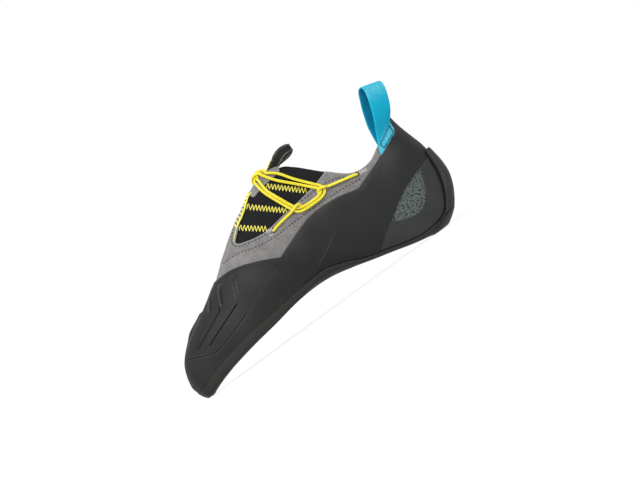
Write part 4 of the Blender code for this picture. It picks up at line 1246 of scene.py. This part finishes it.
INSERT_FOOT = table(Edge, (189, 33), (194, 26), (203, 21.5), (211, 20), (219, 22), (227, 30.5), (235, 50))
INSERT_FRONT, INSERT_BACK = 193.0, 234.0
PATCH_BACK = 110.0
WING_FRONT, RAND_BACK, SLING_FRONT = 108.0, 175.0, 116.0
Upright = namedtuple("Upright", "z x")
STRIP_EDGE = table(
    Upright, (4, 214), (6.5, 221), (8.5, 225.5), (11.5, 229.5), (16.5, 233.2), (25, 237.9), (36, 241.4),
    (48, 242.6), (60, 243),
)
STRIP_TOP = 55.5
STRIP_GROOVE, GROOVE_SPREAD, GROOVE_DEPTH, GROOVE_TOP = 0.8, 0.7, 0.9, (STRIP_TOP - 4, STRIP_TOP - 1)
Rise = namedtuple("Rise", "share lift")
HEEL_BACK = table(Rise, (0.6, 0), (0.7, 0.2), (0.8, -0.8), (0.9, -1.0), (0.96, -0.4), (1, 0.3))
HOLLOW_STATIONS = (17.2, 18.6)
# Paler spots on the rubber, partly real scuffing and partly painted sheen; the first, on the sling, is
# painted sheen.
SCUFFS_AND_SHEEN = table(
    Spot, (221, 70, 8, 0.6), (211, 62, 9, 0.3), (128, 55, 9, 0.25), (150, 60, 7, 0.2), (86, 55, 9, 0.3),
    (18, 20, 9, 0.1), (58, 31, 10, 0.25),
)
LONG_WAVES, SHORT_WAVES = 0.12, 0.07
TOE_THICKER, TOE_BACK, TOE_FOOT, TOE_TOP = 1.7, (4, 18), (6, 14), (28, 46)
DUST_RISE, DUST_FRONT, DUST_BACK = 9, (2, 14), (105, 140)
FLUSH_BACK, FLUSH_SLACK = (104, 122), 4
PATCH_SEAM_FRONT, PATCH_SEAM_BACK = (6, 13), (101, 105)
FAINT_SEAM, FAINT_FRONT, FAINT_BACK = 0.06, (60, 75), (95, 101)
SLING_SEAM_START, SLING_SEAM_BACK = (SLING_FRONT, SLING_FRONT + 1.5), (154, 164)
CUP_SEAM_FRONT, CUP_SEAM_MIDDLE, CUP_SEAM_BACK = (174, 184), (190, 198), (228, 232)
SKIVE_FRONT, SKIVE_BACK = (107, 113), (226, 234)
# How far up from the foot of the rubber its painted shade fades out.
FOOT_SHADE_BAND = (0.5, 1.8)


def rubber_finish(name, main):
    """Rubber with fine grain, greyer wear at its edges, brown dust low on the forefoot, paler patches partly
    real scuffing and partly painted sheen, painted shade in its grooves and painted highlights on its ridges.
    """
    finish = Finish(name, roughness=0.58, specular=0.22)
    grain, blotch = finish.grain(0.35, 16.0)
    cloudy = finish.mix(finish.spread(blotch, 0.35, 0.65, 0, 1), dimmed(main, 0.8), main)
    patchy = finish.spread(blotch, 0.25, 0.7, 0.4, 1.0)
    # Paler patches: partly real scuffing, partly painted sheen.
    scuffed = finish.mix(finish.math("MULTIPLY", finish.attribute("scuff"), patchy), cloudy, RUBBER_SCUFFED_AND_SHEEN)
    dusted = finish.math("MULTIPLY", finish.attribute("dust"), finish.math("SUBTRACT", 1.1, patchy))
    dusty = finish.mix(dusted, scuffed, DUST_BROWN)
    # The crease attribute paints shade in grooves (below 0) and highlights on the toe patch's ridges (above
    # 0).
    crease = finish.attribute("crease")
    shaded_in_grooves = finish.mix(finish.spread(crease, -1.0, -0.15, 0.9, 0.0), dusty, RUBBER_PAINTED_SHADE)
    # Wear at the edges, with painted highlights on the ridges and along the sole's top edge.
    rubbed = finish.math("MAXIMUM", finish.wear_and_highlight(0.45), finish.spread(crease, 0.2, 1.0, 0.0, 0.85))
    finish.feed("Base Color", finish.mix(rubbed, shaded_in_grooves, RUBBER_WORN_AND_HIGHLIGHT))
    finish.feed("Roughness", finish.spread(blotch, 0.3, 0.7, 0.5, 0.66))
    finish.bump(grain, 0.06)
    return finish.shade


def skived(away):
    """Thinning towards an upper edge, at a distance in from it."""
    return -SKIVE * (1 - smooth(0, SKIVE_WIDTH, away))


def hand_laid(points):
    """Slight waviness of rubber stretched on by hand."""
    x, y, z = points.T
    long_waves = LONG_WAVES * np.sin(x / 9 + z / 14) * np.cos(z / 11 - x / 23)
    return long_waves + SHORT_WAVES * np.sin(z / 5 + y / 9)


def full_toe(points):
    """Thicker rubber round the front of the toe."""
    x, _, z = points.T
    return TOE_THICKER * (1 - smooth(*TOE_BACK, x)) * smooth(*TOE_FOOT, z) * (1 - smooth(*TOE_TOP, z))


def dust(spots, points):
    """Brown dust just above the sole, along the forefoot."""
    x, z = points[:, 0], points[:, 2]
    low = smooth(0, DUST_RISE, feather(spots[:, 0])[:, 2] + DUST_RISE - z)
    return low * (1 - smooth(*DUST_BACK, x)) * smooth(*DUST_FRONT, x)


def to_sole(x):
    """Where the rubber is ground flush with the sole (1) and where a groove shows between them (0)."""
    return 1 - smooth(*FLUSH_BACK, x)


def sunk_foot(x):
    return (GAP + FLUSH_LAP) * to_sole(x)


def limits_of(edges):
    """Limits of a piece of rubber from its edges: distances past them, and how far each seam is open."""
    def limits(x, y, z):
        return [away + SEAM / 2 * shown - FLUSH_LAP * (1 - shown) for away, shown in edges(x, y, z)]
    return limits


def depth_of(edges):
    """Distance in from the edges of a piece of rubber that aren't ground flush."""
    def depth(spots, points):
        insets = [FLUSH_SLACK * (1 - shown) - away - SEAM / 2 * shown for away, shown in edges(*points.T)]
        insets.append(spots[:, 1] * RIB_END_SPEED + FLUSH_SLACK * to_sole(points[:, 0]))
        return np.minimum.reduce(insets)
    return depth


def patch_seam(x):
    """How far the seam under the toe patch is open, from 0 to 1. It is fainter along the forefoot."""
    opened = smooth(*PATCH_SEAM_FRONT, x) * (1 - smooth(*PATCH_SEAM_BACK, x))
    return opened - FAINT_SEAM * smooth(*FAINT_FRONT, x) * (1 - smooth(*FAINT_BACK, x))


def sling_seam(x):
    return np.where(x < RAND_BACK, smooth(*SLING_SEAM_START, x) - smooth(*SLING_SEAM_BACK, x), 1)


def cup_seam(x):
    front = 0.8 * (1 - smooth(*CUP_SEAM_FRONT, x))
    return front + 0.5 * smooth(*CUP_SEAM_MIDDLE, x) + 0.5 * smooth(*CUP_SEAM_BACK, x)


def above_sling(x, z):
    """Distance above the sling: its seam with the rand, then its free edge."""
    return np.where(x < RAND_BACK, below(SLING_SEAM, x, z), below(SLING_FREE, x, z))


def patch_edges(x, y, z):
    return [(below(PATCH_TOP, x, z), 1), (-below(PATCH_FOOT, x, z), patch_seam(x)), (x - PATCH_BACK, 0)]


def rand_edges(x, y, z):
    wing = x > WING_FRONT
    crest = np.where(wing, below(WING_TOP, x, z), below(PATCH_FOOT, x, z))
    shown = np.where(wing, 1, patch_seam(x))
    behind = np.minimum(-above_sling(x, z), x - SLING_FRONT)
    return [(crest, shown), (behind, sling_seam(x)), (x - RAND_BACK, 0)]


def sling_edges(x, y, z):
    return [(above_sling(x, z), sling_seam(x)), (-below(CUP_TOP, x, z), cup_seam(x)), (SLING_FRONT - x, 0)]


def window(x, y, z):
    return np.maximum.reduce([-below(INSERT_FOOT, x, z), INSERT_FRONT - x, x - INSERT_BACK])


def cup_edges(x, y, z):
    return [(below(CUP_TOP, x, z), cup_seam(x)), (-window(x, y, z), 0), (SLING_FRONT - x, 0)]


def strip_limits(x, y, z):
    return [-below(STRIP_EDGE, z, x), z - STRIP_TOP]


def past_strip(points):
    return np.maximum.reduce(strip_limits(*points.T)) - STRIP_GROOVE / 2


def strip_groove(points):
    """Groove round the heel strip, from 0 to 1."""
    below_top = 1 - smooth(*GROOVE_TOP, points[:, 2])
    return below_top * bell(past_strip(points), GROOVE_SPREAD * STRIP_GROOVE)


def heel_back(spots, points):
    """Hollow of the heel below the collar, and the groove round the strip."""
    hollow = height(HEEL_BACK, np.maximum(spots[:, 1], HEEL_BACK[0].share))
    behind = smooth(*HOLLOW_STATIONS, station(spots[:, 0]))
    return hollow * behind - GROOVE_DEPTH * strip_groove(points)


def wing_relief(spots, points):
    """Rand and sling, thinned along the free edge that runs over both."""
    x, z = points[:, 0], points[:, 2]
    free = np.where(x < RAND_BACK, -below(WING_TOP, x, z), -below(SLING_FREE, x, z))
    thinned = skived(free) * smooth(*SKIVE_FRONT, x) * (1 - smooth(*SKIVE_BACK, x))
    lap = trough(from_route(points, PATCH_END), PATCH_END_WIDTH, PATCH_END_DEPTH)
    return thinned + hand_laid(points) + full_toe(points) + lap + heel_back(spots, points)


def rubber_groove_shade(spots, points):
    """Painted shade: dark lines at the foot of the rubber, where the sole stands away from it, and in the
    groove round the strip.
    """
    foot = (1 - smooth(*FOOT_SHADE_BAND, spots[:, 1] * RIB_END_SPEED)) * (1 - to_sole(points[:, 0]))
    return -np.maximum(foot, strip_groove(points))


def scuffs(spots, points):
    """Places painted paler: partly real scuffing, partly a painted sheen, as on the sling near the heel where
    the light falls broadly.
    """
    return soft_spots(SCUFFS_AND_SHEEN, points)


# Moulded lines of the toe patch in side view. A rise below zero is a groove, and some ridges have a hollow
# behind them. The mesh is split along the fine lines, and beside the finest, which come first, as well.
Line = namedtuple("Line", "width rise hollow route")
PATCH_LINES = [
    Line(0.36, -0.8, 0.0, table(Edge, (20, 34.6), (30, 39.2), (40, 43.8), (50, 48.5), (51.6, 51.4))),
    Line(0.36, -0.8, 0.0, table(Edge, (29, 31.8), (40, 36), (52, 40.6), (64, 45))),
    Line(0.5, -0.55, 0.0, table(Edge, (19, 35.6), (26, 41.6), (32.5, 47), (38, 51.4))),
    Line(0.8, -0.5, 0.0, table(Edge, (103.2, 51.0), (104.2, 51.6))),
    Line(0.5, 0.5, 0.75, table(Edge, (52.6, 50.6), (55.4, 56.2), (58, 61), (60, 63.6))),
    Line(0.5, 0.5, 0.0, table(Edge, (60, 63.6), (63.4, 63.4))),
    Line(0.5, 0.45, 0.0, table(Edge, (65.6, 48.4), (67, 53), (69, 57))),
    Line(0.5, 0.4, 0.0, table(Edge, (69, 49.5), (70.4, 54), (72.8, 58.5))),
    Line(1.0, -0.5, 0.0, table(Edge, (71, 61.6), (77, 62.2))),
    Line(0.5, 0.5, 0.75, table(Edge, (42.5, 52.5), (46, 57), (49.5, 61.5))),
    Line(0.6, 0.36, 0.0, table(Edge, (13.7, 38.8), (19.5, 43.4), (27.9, 48.5), (35, 52.4))),
]
FINE_LINE, FINEST_LINES, FINEST_HALF = 0.6, 2, 0.5
HOLLOW_AWAY, HOLLOW_WIDTH, HOLLOW_ENDS = 0.9, 0.8, (1, 3.5)
MOULDED_TOP = (0.9, 0.97)
# Heights that give full painted highlight on a ridge and full painted shade in a groove.
RIDGE_HIGHLIGHT_SCALE, GROOVE_SHADE_SCALE = 0.4, 0.6
PATCH_END = table(Edge, (110.5, 54), (115, 51), (119, 48))
PATCH_END_WIDTH, PATCH_END_DEPTH = 0.7, 0.3
TOE_PLATE, TOE_PLATE_BACK, TOE_PLATE_SIDE = 1.2, (36.8, 39.6), (0.75, 0.95)


def from_route(points, route):
    """Distance in side view from a route of straight stretches, negative on its left."""
    flat = points[:, [0, 2]]
    near, side = np.full(len(flat), 1e6), np.ones(len(flat))
    for start, end in zip(np.array(route[:-1]), np.array(route[1:])):
        along, reach = end - start, flat - start
        share = np.clip(reach @ along / (along @ along), 0, 1)
        away = np.linalg.norm(reach - share[:, None] * along, axis=1)
        turned = reach[:, 0] * along[1] - reach[:, 1] * along[0]
        side = np.where(away < near, np.sign(turned), side)
        near = np.minimum(near, away)
    return near * side


def outside(spots):
    """Points of the rubber's outer face."""
    return lifted(spots, RUBBER_LAYER[1])


def moulded(spots, points):
    """Height of the toe patch's moulded lines, none over the ridge. The hollow beside a raised line runs out
    towards both ends."""
    shown = outside(spots)
    raised = np.zeros(len(spots))
    for line in PATCH_LINES:
        away = from_route(shown, line.route)
        ends = [np.hypot(shown[:, 0] - end.x, shown[:, 2] - end.z) for end in (line.route[0], line.route[-1])]
        raised += line.rise * bell(away, line.width)
        hollow = line.hollow * bell(away - line.width - HOLLOW_AWAY, HOLLOW_WIDTH)
        raised -= hollow * smooth(*HOLLOW_ENDS, np.minimum(*ends))
    return raised * (1 - smooth(*MOULDED_TOP, spots[:, 1]))


def patch_relief(spots, points):
    x, y, z = points.T
    raised = hand_laid(points) + skived(-below(PATCH_TOP, x, z)) + full_toe(points) + moulded(spots, points)
    plate = (1 - smooth(*TOE_PLATE_BACK, x)) * smooth(*TOE_PLATE_SIDE, spots[:, 1])
    return raised + TOE_PLATE * plate


def patch_shade_and_highlight(spots, points):
    """Painted shade in the grooves and hollows (below 0) and painted highlights on the ridges (above 0)."""
    raised = moulded(spots, points)
    return np.where(raised > 0, raised / RIDGE_HIGHLIGHT_SCALE, raised / GROOVE_SHADE_SCALE)


def cup_relief(spots, points):
    return hand_laid(points) + heel_back(spots, points)


def along_line(line, beside):
    """Distance from a moulded line, or from a line beside it, to cut the patch's mesh along."""
    return lambda spots: from_route(outside(spots), line.route) - beside


def strip_split(spots):
    return past_strip(last(*spots.T))


rubber_shade = rubber_finish("rubber", RUBBER_BLACK)
cup_shade = rubber_finish("heel_rubber", CUP_GREY)
patch_splits = [along_line(line, 0.0) for line in PATCH_LINES if line.width < FINE_LINE]
for line in PATCH_LINES[:FINEST_LINES]:
    patch_splits += [along_line(line, beside) for beside in (-FINEST_HALF, FINEST_HALF)]
for name, node, step, edges, relief, shade, splits, crease in (
    ("rand_rubber", "rand", 1.1, rand_edges, wing_relief, rubber_shade, [], rubber_groove_shade),
    ("toe_patch_rubber", "toe_patch", 0.72, patch_edges, patch_relief, rubber_shade, patch_splits,
     patch_shade_and_highlight),
    ("sling_rubber", "sling_rand", 1.1, sling_edges, wing_relief, rubber_shade, [strip_split], rubber_groove_shade),
    ("heel_cup_rubber", "heel_cup", 1.0, cup_edges, cup_relief, cup_shade, [strip_split], rubber_groove_shade),
):
    rubber = layer_piece(
        name, limits_of(edges), depth_of(edges), RUBBER_LAYER, relief, [shade], step, RUBBER_EDGE,
        sink=sunk_foot, creases=splits, dust=dust, crease=crease, scuff=scuffs,
    )
    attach(rubber, "root")
    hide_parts(node)

# Heel inserts. Softer grey-green rubber moulded with a field of small pimples, let into the heel cup on
# either side to grip when hooking with the heel.
PIMPLE_PITCH = 1.5
PIMPLE_RISE, PIMPLE_SINK = 0.25, 0.6
PIMPLE_SIZE, PIMPLE_SHIFT = (0.32, 0.7), 0.6
SHUFFLE, SHUFFLE_SCALE = [[12.99, 39.35], [78.23, 26.71]], 437.5
BORDER = 2.4
PIMPLE_GREY = (0.098, 0.119, 0.114, 1)
PIMPLE_DARK = (0.016, 0.019, 0.0185, 1)


def insert_edges(side):
    return lambda x, y, z: [(below(CUP_TOP, x, z), cup_seam(x)), (window(x, y, z), 0), (-y * side, 0)]


def pimples(spots, points):
    """Height of the pimples, from -1 to 1, each a little off its place in diagonal rows."""
    x, _, z = points.T
    place = np.stack([x + z, z - x], 1) / (np.sqrt(2) * PIMPLE_PITCH)
    near = np.full(len(place), np.inf)
    for row in range(-1, 2):
        for column in range(-1, 2):
            cell = np.floor(place) + [row, column]
            shifted = np.sin(cell @ SHUFFLE) * SHUFFLE_SCALE
            centre = cell + 0.5 + PIMPLE_SHIFT * (shifted - np.floor(shifted) - 0.5)
            near = np.minimum(near, np.linalg.norm(place - centre, axis=1))
    return 1 - 2 * smooth(*PIMPLE_SIZE, near)


def pimpled(spots, points):
    return hand_laid(points) + PIMPLE_RISE * (pimples(spots, points) - PIMPLE_SINK)


def near_border(spots, points):
    x, y, z = points.T
    return 1 - smooth(0, BORDER, -np.maximum(below(CUP_TOP, x, z), window(x, y, z)))


def insert_finish():
    """Speckled rubber, paler on the pimples and darker along its border."""
    finish = Finish("pimpled_rubber", roughness=0.7, specular=0.25)
    grain, _ = finish.grain(0.8)
    specks = finish.spread(grain, 0.3, 0.7, -0.8, 0.8)
    raised = finish.spread(finish.math("ADD", finish.attribute("pimple"), specks), -0.9, 0.9, 0, 1)
    faded = finish.math("MULTIPLY", finish.attribute("border"), 0.75)
    finish.feed("Base Color", finish.mix(faded, finish.mix(raised, PIMPLE_DARK, PIMPLE_GREY), PIMPLE_DARK))
    finish.bump(grain, 0.1)
    return finish.shade


insert_shade = insert_finish()
for side_name, side in (("medial", -1), ("lateral", 1)):
    insert = layer_piece(
        f"heel_insert_{side_name}_rubber", limits_of(insert_edges(side)), depth_of(insert_edges(side)),
        RUBBER_LAYER, pimpled, [insert_shade], step=0.45, radius=0.4, pimple=pimples, border=near_border,
    )
    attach(insert, "root")
    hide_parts(f"heel_insert_{side_name}")

# Outsole. One sheet of black rubber, about 4 mm, cut flush with the rand, its edge ground to a band and
# dusty brown under the forefoot. At the back it turns up into the heel strip.
SOLE_ROUNDING, HEEL_ROUNDER, TOE_ROUNDER = 5.0, 0.6, 0.15
HEEL_ROLL, TOE_ROLL, ROLLED_SHARE = (16.4, 18.4), (0.6, 2.6), 0.85
CRISP, CRISP_BACK = 0.8, (95, 125)
SOLE_FILLET, FILLET_HEEL, FILLET_TOE, HEEL_FILLET_LOST = 0.6, (16.6, 17.4), (0.2, 2), 0.9
TOP_RINGS, BOTTOM_RINGS, BOTTOM_CROWDED = (0.0, 0.3, 0.6, 0.85, 1.0), 26, 1.6
GROUND_EDGE_AND_HIGHLIGHT = 0.5
SOLE_DUST_FRONT, SOLE_DUST_BACK = (3, 16), (95, 150)
SOLE_BLACK = (0.0140, 0.0137, 0.0130, 1)
STRIP_LAYER = (RUBBER_LAYER[1] + GAP, RUBBER_LAYER[1] + GAP + RUBBER)
FULL_SIDE, FULL_BACK, FULL_STATIONS, FLUSH_SHARE = 0.3, 0.7, (17.3, 18.6), 0.08
HEEL_PROFILE = table(
    Rise, (0, 0.6), (0.02, 0.6), (0.06, 0.6), (0.1, 0.4), (0.14, 0.35), (0.18, 0.5), (0.25, 1.0),
    (0.3, 1.4), (0.4, 2.1), (0.5, 1.9), (0.6, 1.2),
)


def sole_side(u, inward, drop):
    """Ring near the sole's upper edge, a little inward of it and below it."""
    edge, _, crest = sole_rib(u)
    level = edge - outward(u)[:, :2] * inward[:, None]
    return np.concatenate([level, (crest - drop)[:, None]], axis=-1)


def sole_bottom(u, out):
    """Ring on the sole's bottom, at out from its middle (0) to its edge (1), flat on the floor. Its corner
    is crisp along the forefoot, rounded at the arch, and rolls up at the toe and behind the heel."""
    edge, middle, crest = sole_rib(u)
    level = middle + (edge - middle) * out
    low_edge = height(SOLES, edge[:, 0], SOLE_BOTTOM)
    at_heel, at_toe = smooth(*HEEL_ROLL, station(u)), 1 - smooth(*TOE_ROLL, station(u))
    crisp = CRISP * (1 - smooth(*CRISP_BACK, edge[:, 0])) * (1 - at_toe)
    side = height(SOLES, edge[:, 0], SOLE_EDGE) * (1 - ROLLED_SHARE * at_heel) * (1 - ROLLED_SHARE * at_toe)
    corner = SOLE_ROUNDING * (1 - HEEL_ROUNDER * at_heel) * (1 - TOE_ROUNDER * at_toe)
    rise = (crest - side - low_edge) * (1 - crisp) * out**corner
    z = np.maximum(height(SOLES, level[:, 0], SOLE_BOTTOM) + rise, 0.0)
    return np.concatenate([level, z[:, None]], axis=-1)


ribs = ring_ribs(step=1.4)
fillet = SOLE_FILLET * (1 - HEEL_FILLET_LOST * smooth(*FILLET_HEEL, station(ribs)))
fillet = fillet * smooth(*FILLET_TOE, station(ribs))
fillet_turns = np.linspace(0, np.pi / 2, 5)
sole_rings = [sole_top(ribs, share) for share in TOP_RINGS]
sole_rings += [
    sole_side(ribs, fillet * (1 - np.sin(turn)), fillet * (1 - np.cos(turn))) for turn in fillet_turns
]
sole_rings += [sole_bottom(ribs, out) for out in 1 - np.linspace(0, 1, BOTTOM_RINGS) ** BOTTOM_CROWDED]
# Paler along the fillet of the sole's top edge, through the edge attribute: partly wear of the ground edge,
# partly painted highlight where it faces up.
ground = np.repeat([0, GROUND_EDGE_AND_HIGHLIGHT, 0], [len(TOP_RINGS), len(fillet_turns), BOTTOM_RINGS])
sole_x = np.array(sole_rings)[..., 0]
sole_shade = rubber_finish("sole_rubber", SOLE_BLACK)
sole = rings_piece(
    "outsole_rubber", sole_rings, [sole_shade],
    edge=ground[:, None], dust=(1 - smooth(*SOLE_DUST_BACK, sole_x)) * smooth(*SOLE_DUST_FRONT, sole_x),
)
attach(sole, "root")
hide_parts("outsole")


def strip_relief(spots, points):
    """Full behind the heel, and flush with the sole's edge at its foot."""
    share = spots[:, 1]
    flush = sole_overhang(spots[:, 0]) - STRIP_LAYER[1] - HEEL_PROFILE[0].lift
    behind = FULL_SIDE + FULL_BACK * smooth(*FULL_STATIONS, station(spots[:, 0]))
    full = height(HEEL_PROFILE, share) * behind
    return flush * (1 - smooth(0, FLUSH_SHARE, share)) + full + hand_laid(points)


def strip_depth(spots, points):
    return -np.maximum.reduce(strip_limits(*points.T))


strip = layer_piece(
    "heel_strip_rubber", strip_limits, strip_depth, STRIP_LAYER, strip_relief, [sole_shade],
    step=0.9, radius=0.6, sink=lambda x: np.full(len(x), GAP + FLUSH_LAP), scuff=scuffs,
)
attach(strip, "root")
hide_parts("heel_strip")

# Lace. Yellow braided polyester cord, over 2 mm thick: two closed loops that cross over the instep and lie
# side by side down both flanks, each side held by a tie from the front and one from the rear that end in
# bound holes.
CORD = 2.15
CORD_LIFT = 0.2
CORD_STEP, CORD_SIDES = 0.5, 14
CORD_STRANDS = 4
BRAID_PITCH = 5.2
CORD_YELLOW = (1.0, 0.87, 0.02, 1)
CORD_SHADE = (0.80, 0.65, 0.008, 1)
CORD_PALE = (1.0, 0.95, 0.17, 1)
Route = namedtuple("Route", "x z")
Crown = namedtuple("Crown", "front back")
OUTER_CROWN, INNER_CROWN = Crown(126.4, 136.8), Crown(129.6, 133.4)
BACK_SPREAD, FRONT_SPREAD = 0.7, 0.4
CROWN_SHARES = np.array([0.88, 0.93, 1, 0.93, 0.88])
UNDER_LIFTS = np.array([1.4, 1.4, 1.35, 1.4, 1.4])
OVER_LIFTS = np.array([1.9, 3.0, 3.7, 3.0, 1.9])
LOOP_OUTER = table(
    Route, (128.8, 99), (134.2, 85.7), (138.4, 76.6), (140.9, 73.5), (145, 72.2), (152, 71.7),
    (159.5, 71.9), (164.2, 73.2), (166.4, 75.9), (165.3, 79.5), (153.6, 94.2), (145.2, 105.0),
)
LOOP_INNER = table(
    Route, (131, 99.9), (136.4, 86.6), (140.6, 77.6), (142.6, 75.6), (146, 74.5), (152, 74),
    (158.6, 74.2), (162, 75), (163.9, 76.9), (162, 80), (150.8, 91.5), (140.8, 102.3),
)
# The ties start below the suede, lie on it, then pass over the pair of cords and under them again.
Tie = namedtuple("Tie", "x z lift")
FRONT_TIE = table(
    Tie, (117.2, 73.0, -1.4), (118.2, 73.2, 0.2), (120.5, 73.8, 1.3), (130, 75.4, 1.35),
    (135.8, 76.1, 1.7), (139.2, 76.7, 3.6), (142.2, 77.7, 3.3), (144.3, 77.4, 1.7), (145.2, 76.0, 0.3),
    (145.2, 74.4, -0.6),
)
REAR_TIE = table(
    Tie, (193.0, 70.8, -1.4), (192, 71, 0.2), (189.8, 71.5, 1.3), (178, 74.0, 1.35), (170, 75.8, 1.7),
    (166.9, 76.7, 3.6), (163.9, 77.6, 3.3), (161.9, 77.2, 1.7), (161.2, 75.8, 0.3), (161.4, 74.2, -0.6),
)


def crossing(crown_back, crown_front, side, lifts):
    """Cord from the back on one side, slanting over the ridge, to the front on the other side."""
    middle = (crown_back + crown_front) / 2
    x = np.array([crown_back + BACK_SPREAD, crown_back, middle, crown_front, crown_front - FRONT_SPREAD])
    return lifted(on_crown(x, CROWN_SHARES, side * np.array([1, 1, 1, -1, -1])), lifts)


def over_last(route, side, lift):
    """Points above the last where side view shows the route."""
    return lifted(on_last([(at.x, at.z) for at in route], side), lift)


def cord_finish():
    """Braid of crossing strands, darker between them."""
    finish = Finish("braided_cord", roughness=0.55, specular=0.35, sheen=0.15)
    place = finish.node("SeparateXYZ", {0: finish.node("UVMap", uv_map="cloth").outputs[0]})
    turns = finish.math("MULTIPLY", place.outputs[0], float(CORD_STRANDS))
    climb = finish.math("DIVIDE", place.outputs[1], BRAID_PITCH / 2)
    waves = []
    for operation in ("ADD", "SUBTRACT"):
        phase = finish.math("MULTIPLY", finish.math(operation, turns, climb), 2 * np.pi)
        waves.append(finish.math("SINE", phase))
    strands = finish.spread(finish.math("MULTIPLY", *waves), -0.9, 0.8, 0.0, 1.0)
    _, blotch = finish.grain(0.5, 5.0)
    body = finish.mix(finish.spread(blotch, 0.4, 0.7, 0, 0.7), CORD_YELLOW, CORD_PALE)
    finish.feed("Base Color", finish.mix(strands, CORD_SHADE, body))
    finish.bump(strands, 0.25)
    return finish.shade


def cord_piece(name, points, closed, shade):
    """Cord along points, with a map of its turn and length for the braid."""
    path = resampled(points, CORD_STEP, closed)
    made, faces = tube(path, CORD / 2, CORD_SIDES, closed, round_ends=not closed)
    run = np.linspace(0, len(path) * CORD_STEP, len(path))
    uv = np.stack([np.tile(np.arange(CORD_SIDES) / CORD_SIDES, len(path)), np.repeat(run, CORD_SIDES)], 1)
    return mesh_piece(name, made, faces, [shade], uv=uv)


cord_shade = cord_finish()
lift = CORD / 2 + CORD_LIFT
for name, near, near_crown, far, far_crown in (
    ("outer", LOOP_OUTER, OUTER_CROWN, LOOP_INNER, INNER_CROWN),
    ("inner", LOOP_INNER, INNER_CROWN, LOOP_OUTER, OUTER_CROWN),
):
    path = np.vstack([
        over_last(near, -1, lift), crossing(near_crown.back, far_crown.front, -1, OVER_LIFTS),
        over_last(far, 1, lift), crossing(far_crown.back, near_crown.front, 1, UNDER_LIFTS),
    ])
    lace = cord_piece(f"lace_loop_{name}_cord", np.roll(path, -2, axis=0), True, cord_shade)
    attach(lace, "root")
    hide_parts(f"lace_loop_{name}")
for end, route in (("front", FRONT_TIE), ("rear", REAR_TIE)):
    for side_name, side in (("medial", -1), ("lateral", 1)):
        path = over_last(route, side, [at.lift for at in route])
        lace = cord_piece(f"lace_tie_{end}_{side_name}_cord", path, False, cord_shade)
        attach(lace, "root")
        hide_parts(f"lace_tie_{end}_{side_name}")

# Floor, light and camera. A white studio sweep with soft light from above and in front.
FLOOR = 30.0
FLOOR_GREY = (0.12, 0.12, 0.12, 1)
FLOOR_GLOW, FLOOR_BOUNCE = 0.86, 0.66
SKY_LIGHT = 0.75
LAMPS = [("key", 1.95, 40, (0.35, 0.75, -0.9)), ("fill", 0.4, 60, (-0.5, 0.9, -0.25))]
floor_mesh = bpy.data.meshes.new("floor")
floor_mesh.from_pydata(
    [(-FLOOR, -FLOOR, 0), (FLOOR, -FLOOR, 0), (FLOOR, FLOOR, 0), (-FLOOR, FLOOR, 0)], [], [(0, 1, 2, 3)])
floor = bpy.data.objects.new("floor", floor_mesh)
bpy.context.scene.collection.objects.link(floor)
finish = Finish("floor", roughness=0.9, specular=0.1)
finish.shader.inputs["Base Color"].default_value = FLOOR_GREY
finish.shader.inputs["Emission Strength"].default_value = 1.0
seen = finish.node("LightPath").outputs["Is Camera Ray"]
finish.feed("Emission Color", finish.mix(seen, (FLOOR_BOUNCE,) * 3 + (1,), (FLOOR_GLOW,) * 3 + (1,)))
floor_mesh.materials.append(finish.shade)

world = bpy.data.worlds.new("studio")
bpy.context.scene.world = world
world.use_nodes = True
sky = world.node_tree.nodes["Background"]
sky.inputs["Color"].default_value = (1, 1, 1, 1)
wires = Wiring(world.node_tree)
seen = wires.spread(wires.node("LightPath").outputs["Is Camera Ray"], 0, 1, SKY_LIGHT, 1.0)
world.node_tree.links.new(seen, sky.inputs["Strength"])

for name, strength, spread, direction in LAMPS:
    lamp = bpy.data.lights.new(name, "SUN")
    lamp.energy = strength
    lamp.angle = np.radians(spread)
    light = bpy.data.objects.new(name, lamp)
    light.rotation_mode = "QUATERNION"
    light.rotation_quaternion = Vector(direction).to_track_quat("-Z", "Y")
    bpy.context.scene.collection.objects.link(light)

LENS, SENSOR = 200.0, 36.0
FRAME_WIDTH = 0.4779
AIM = Vector((0.01695, -0.025, 0.04725))
RIGHT, UP = Vector((0.8100, 0, -0.5866)), Vector((0.5866, 0, 0.8100))
view = bpy.data.cameras.new("camera")
view.lens, view.sensor_width = LENS, SENSOR
camera = bpy.data.objects.new("camera", view)
back = RIGHT.cross(UP)
turn = Matrix((RIGHT, UP, back)).transposed().to_4x4()
camera.matrix_world = Matrix.Translation(AIM + back * FRAME_WIDTH * LENS / SENSOR) @ turn
bpy.context.scene.collection.objects.link(camera)
bpy.context.scene.camera = camera
bpy.context.scene.view_settings.view_transform = "Standard"
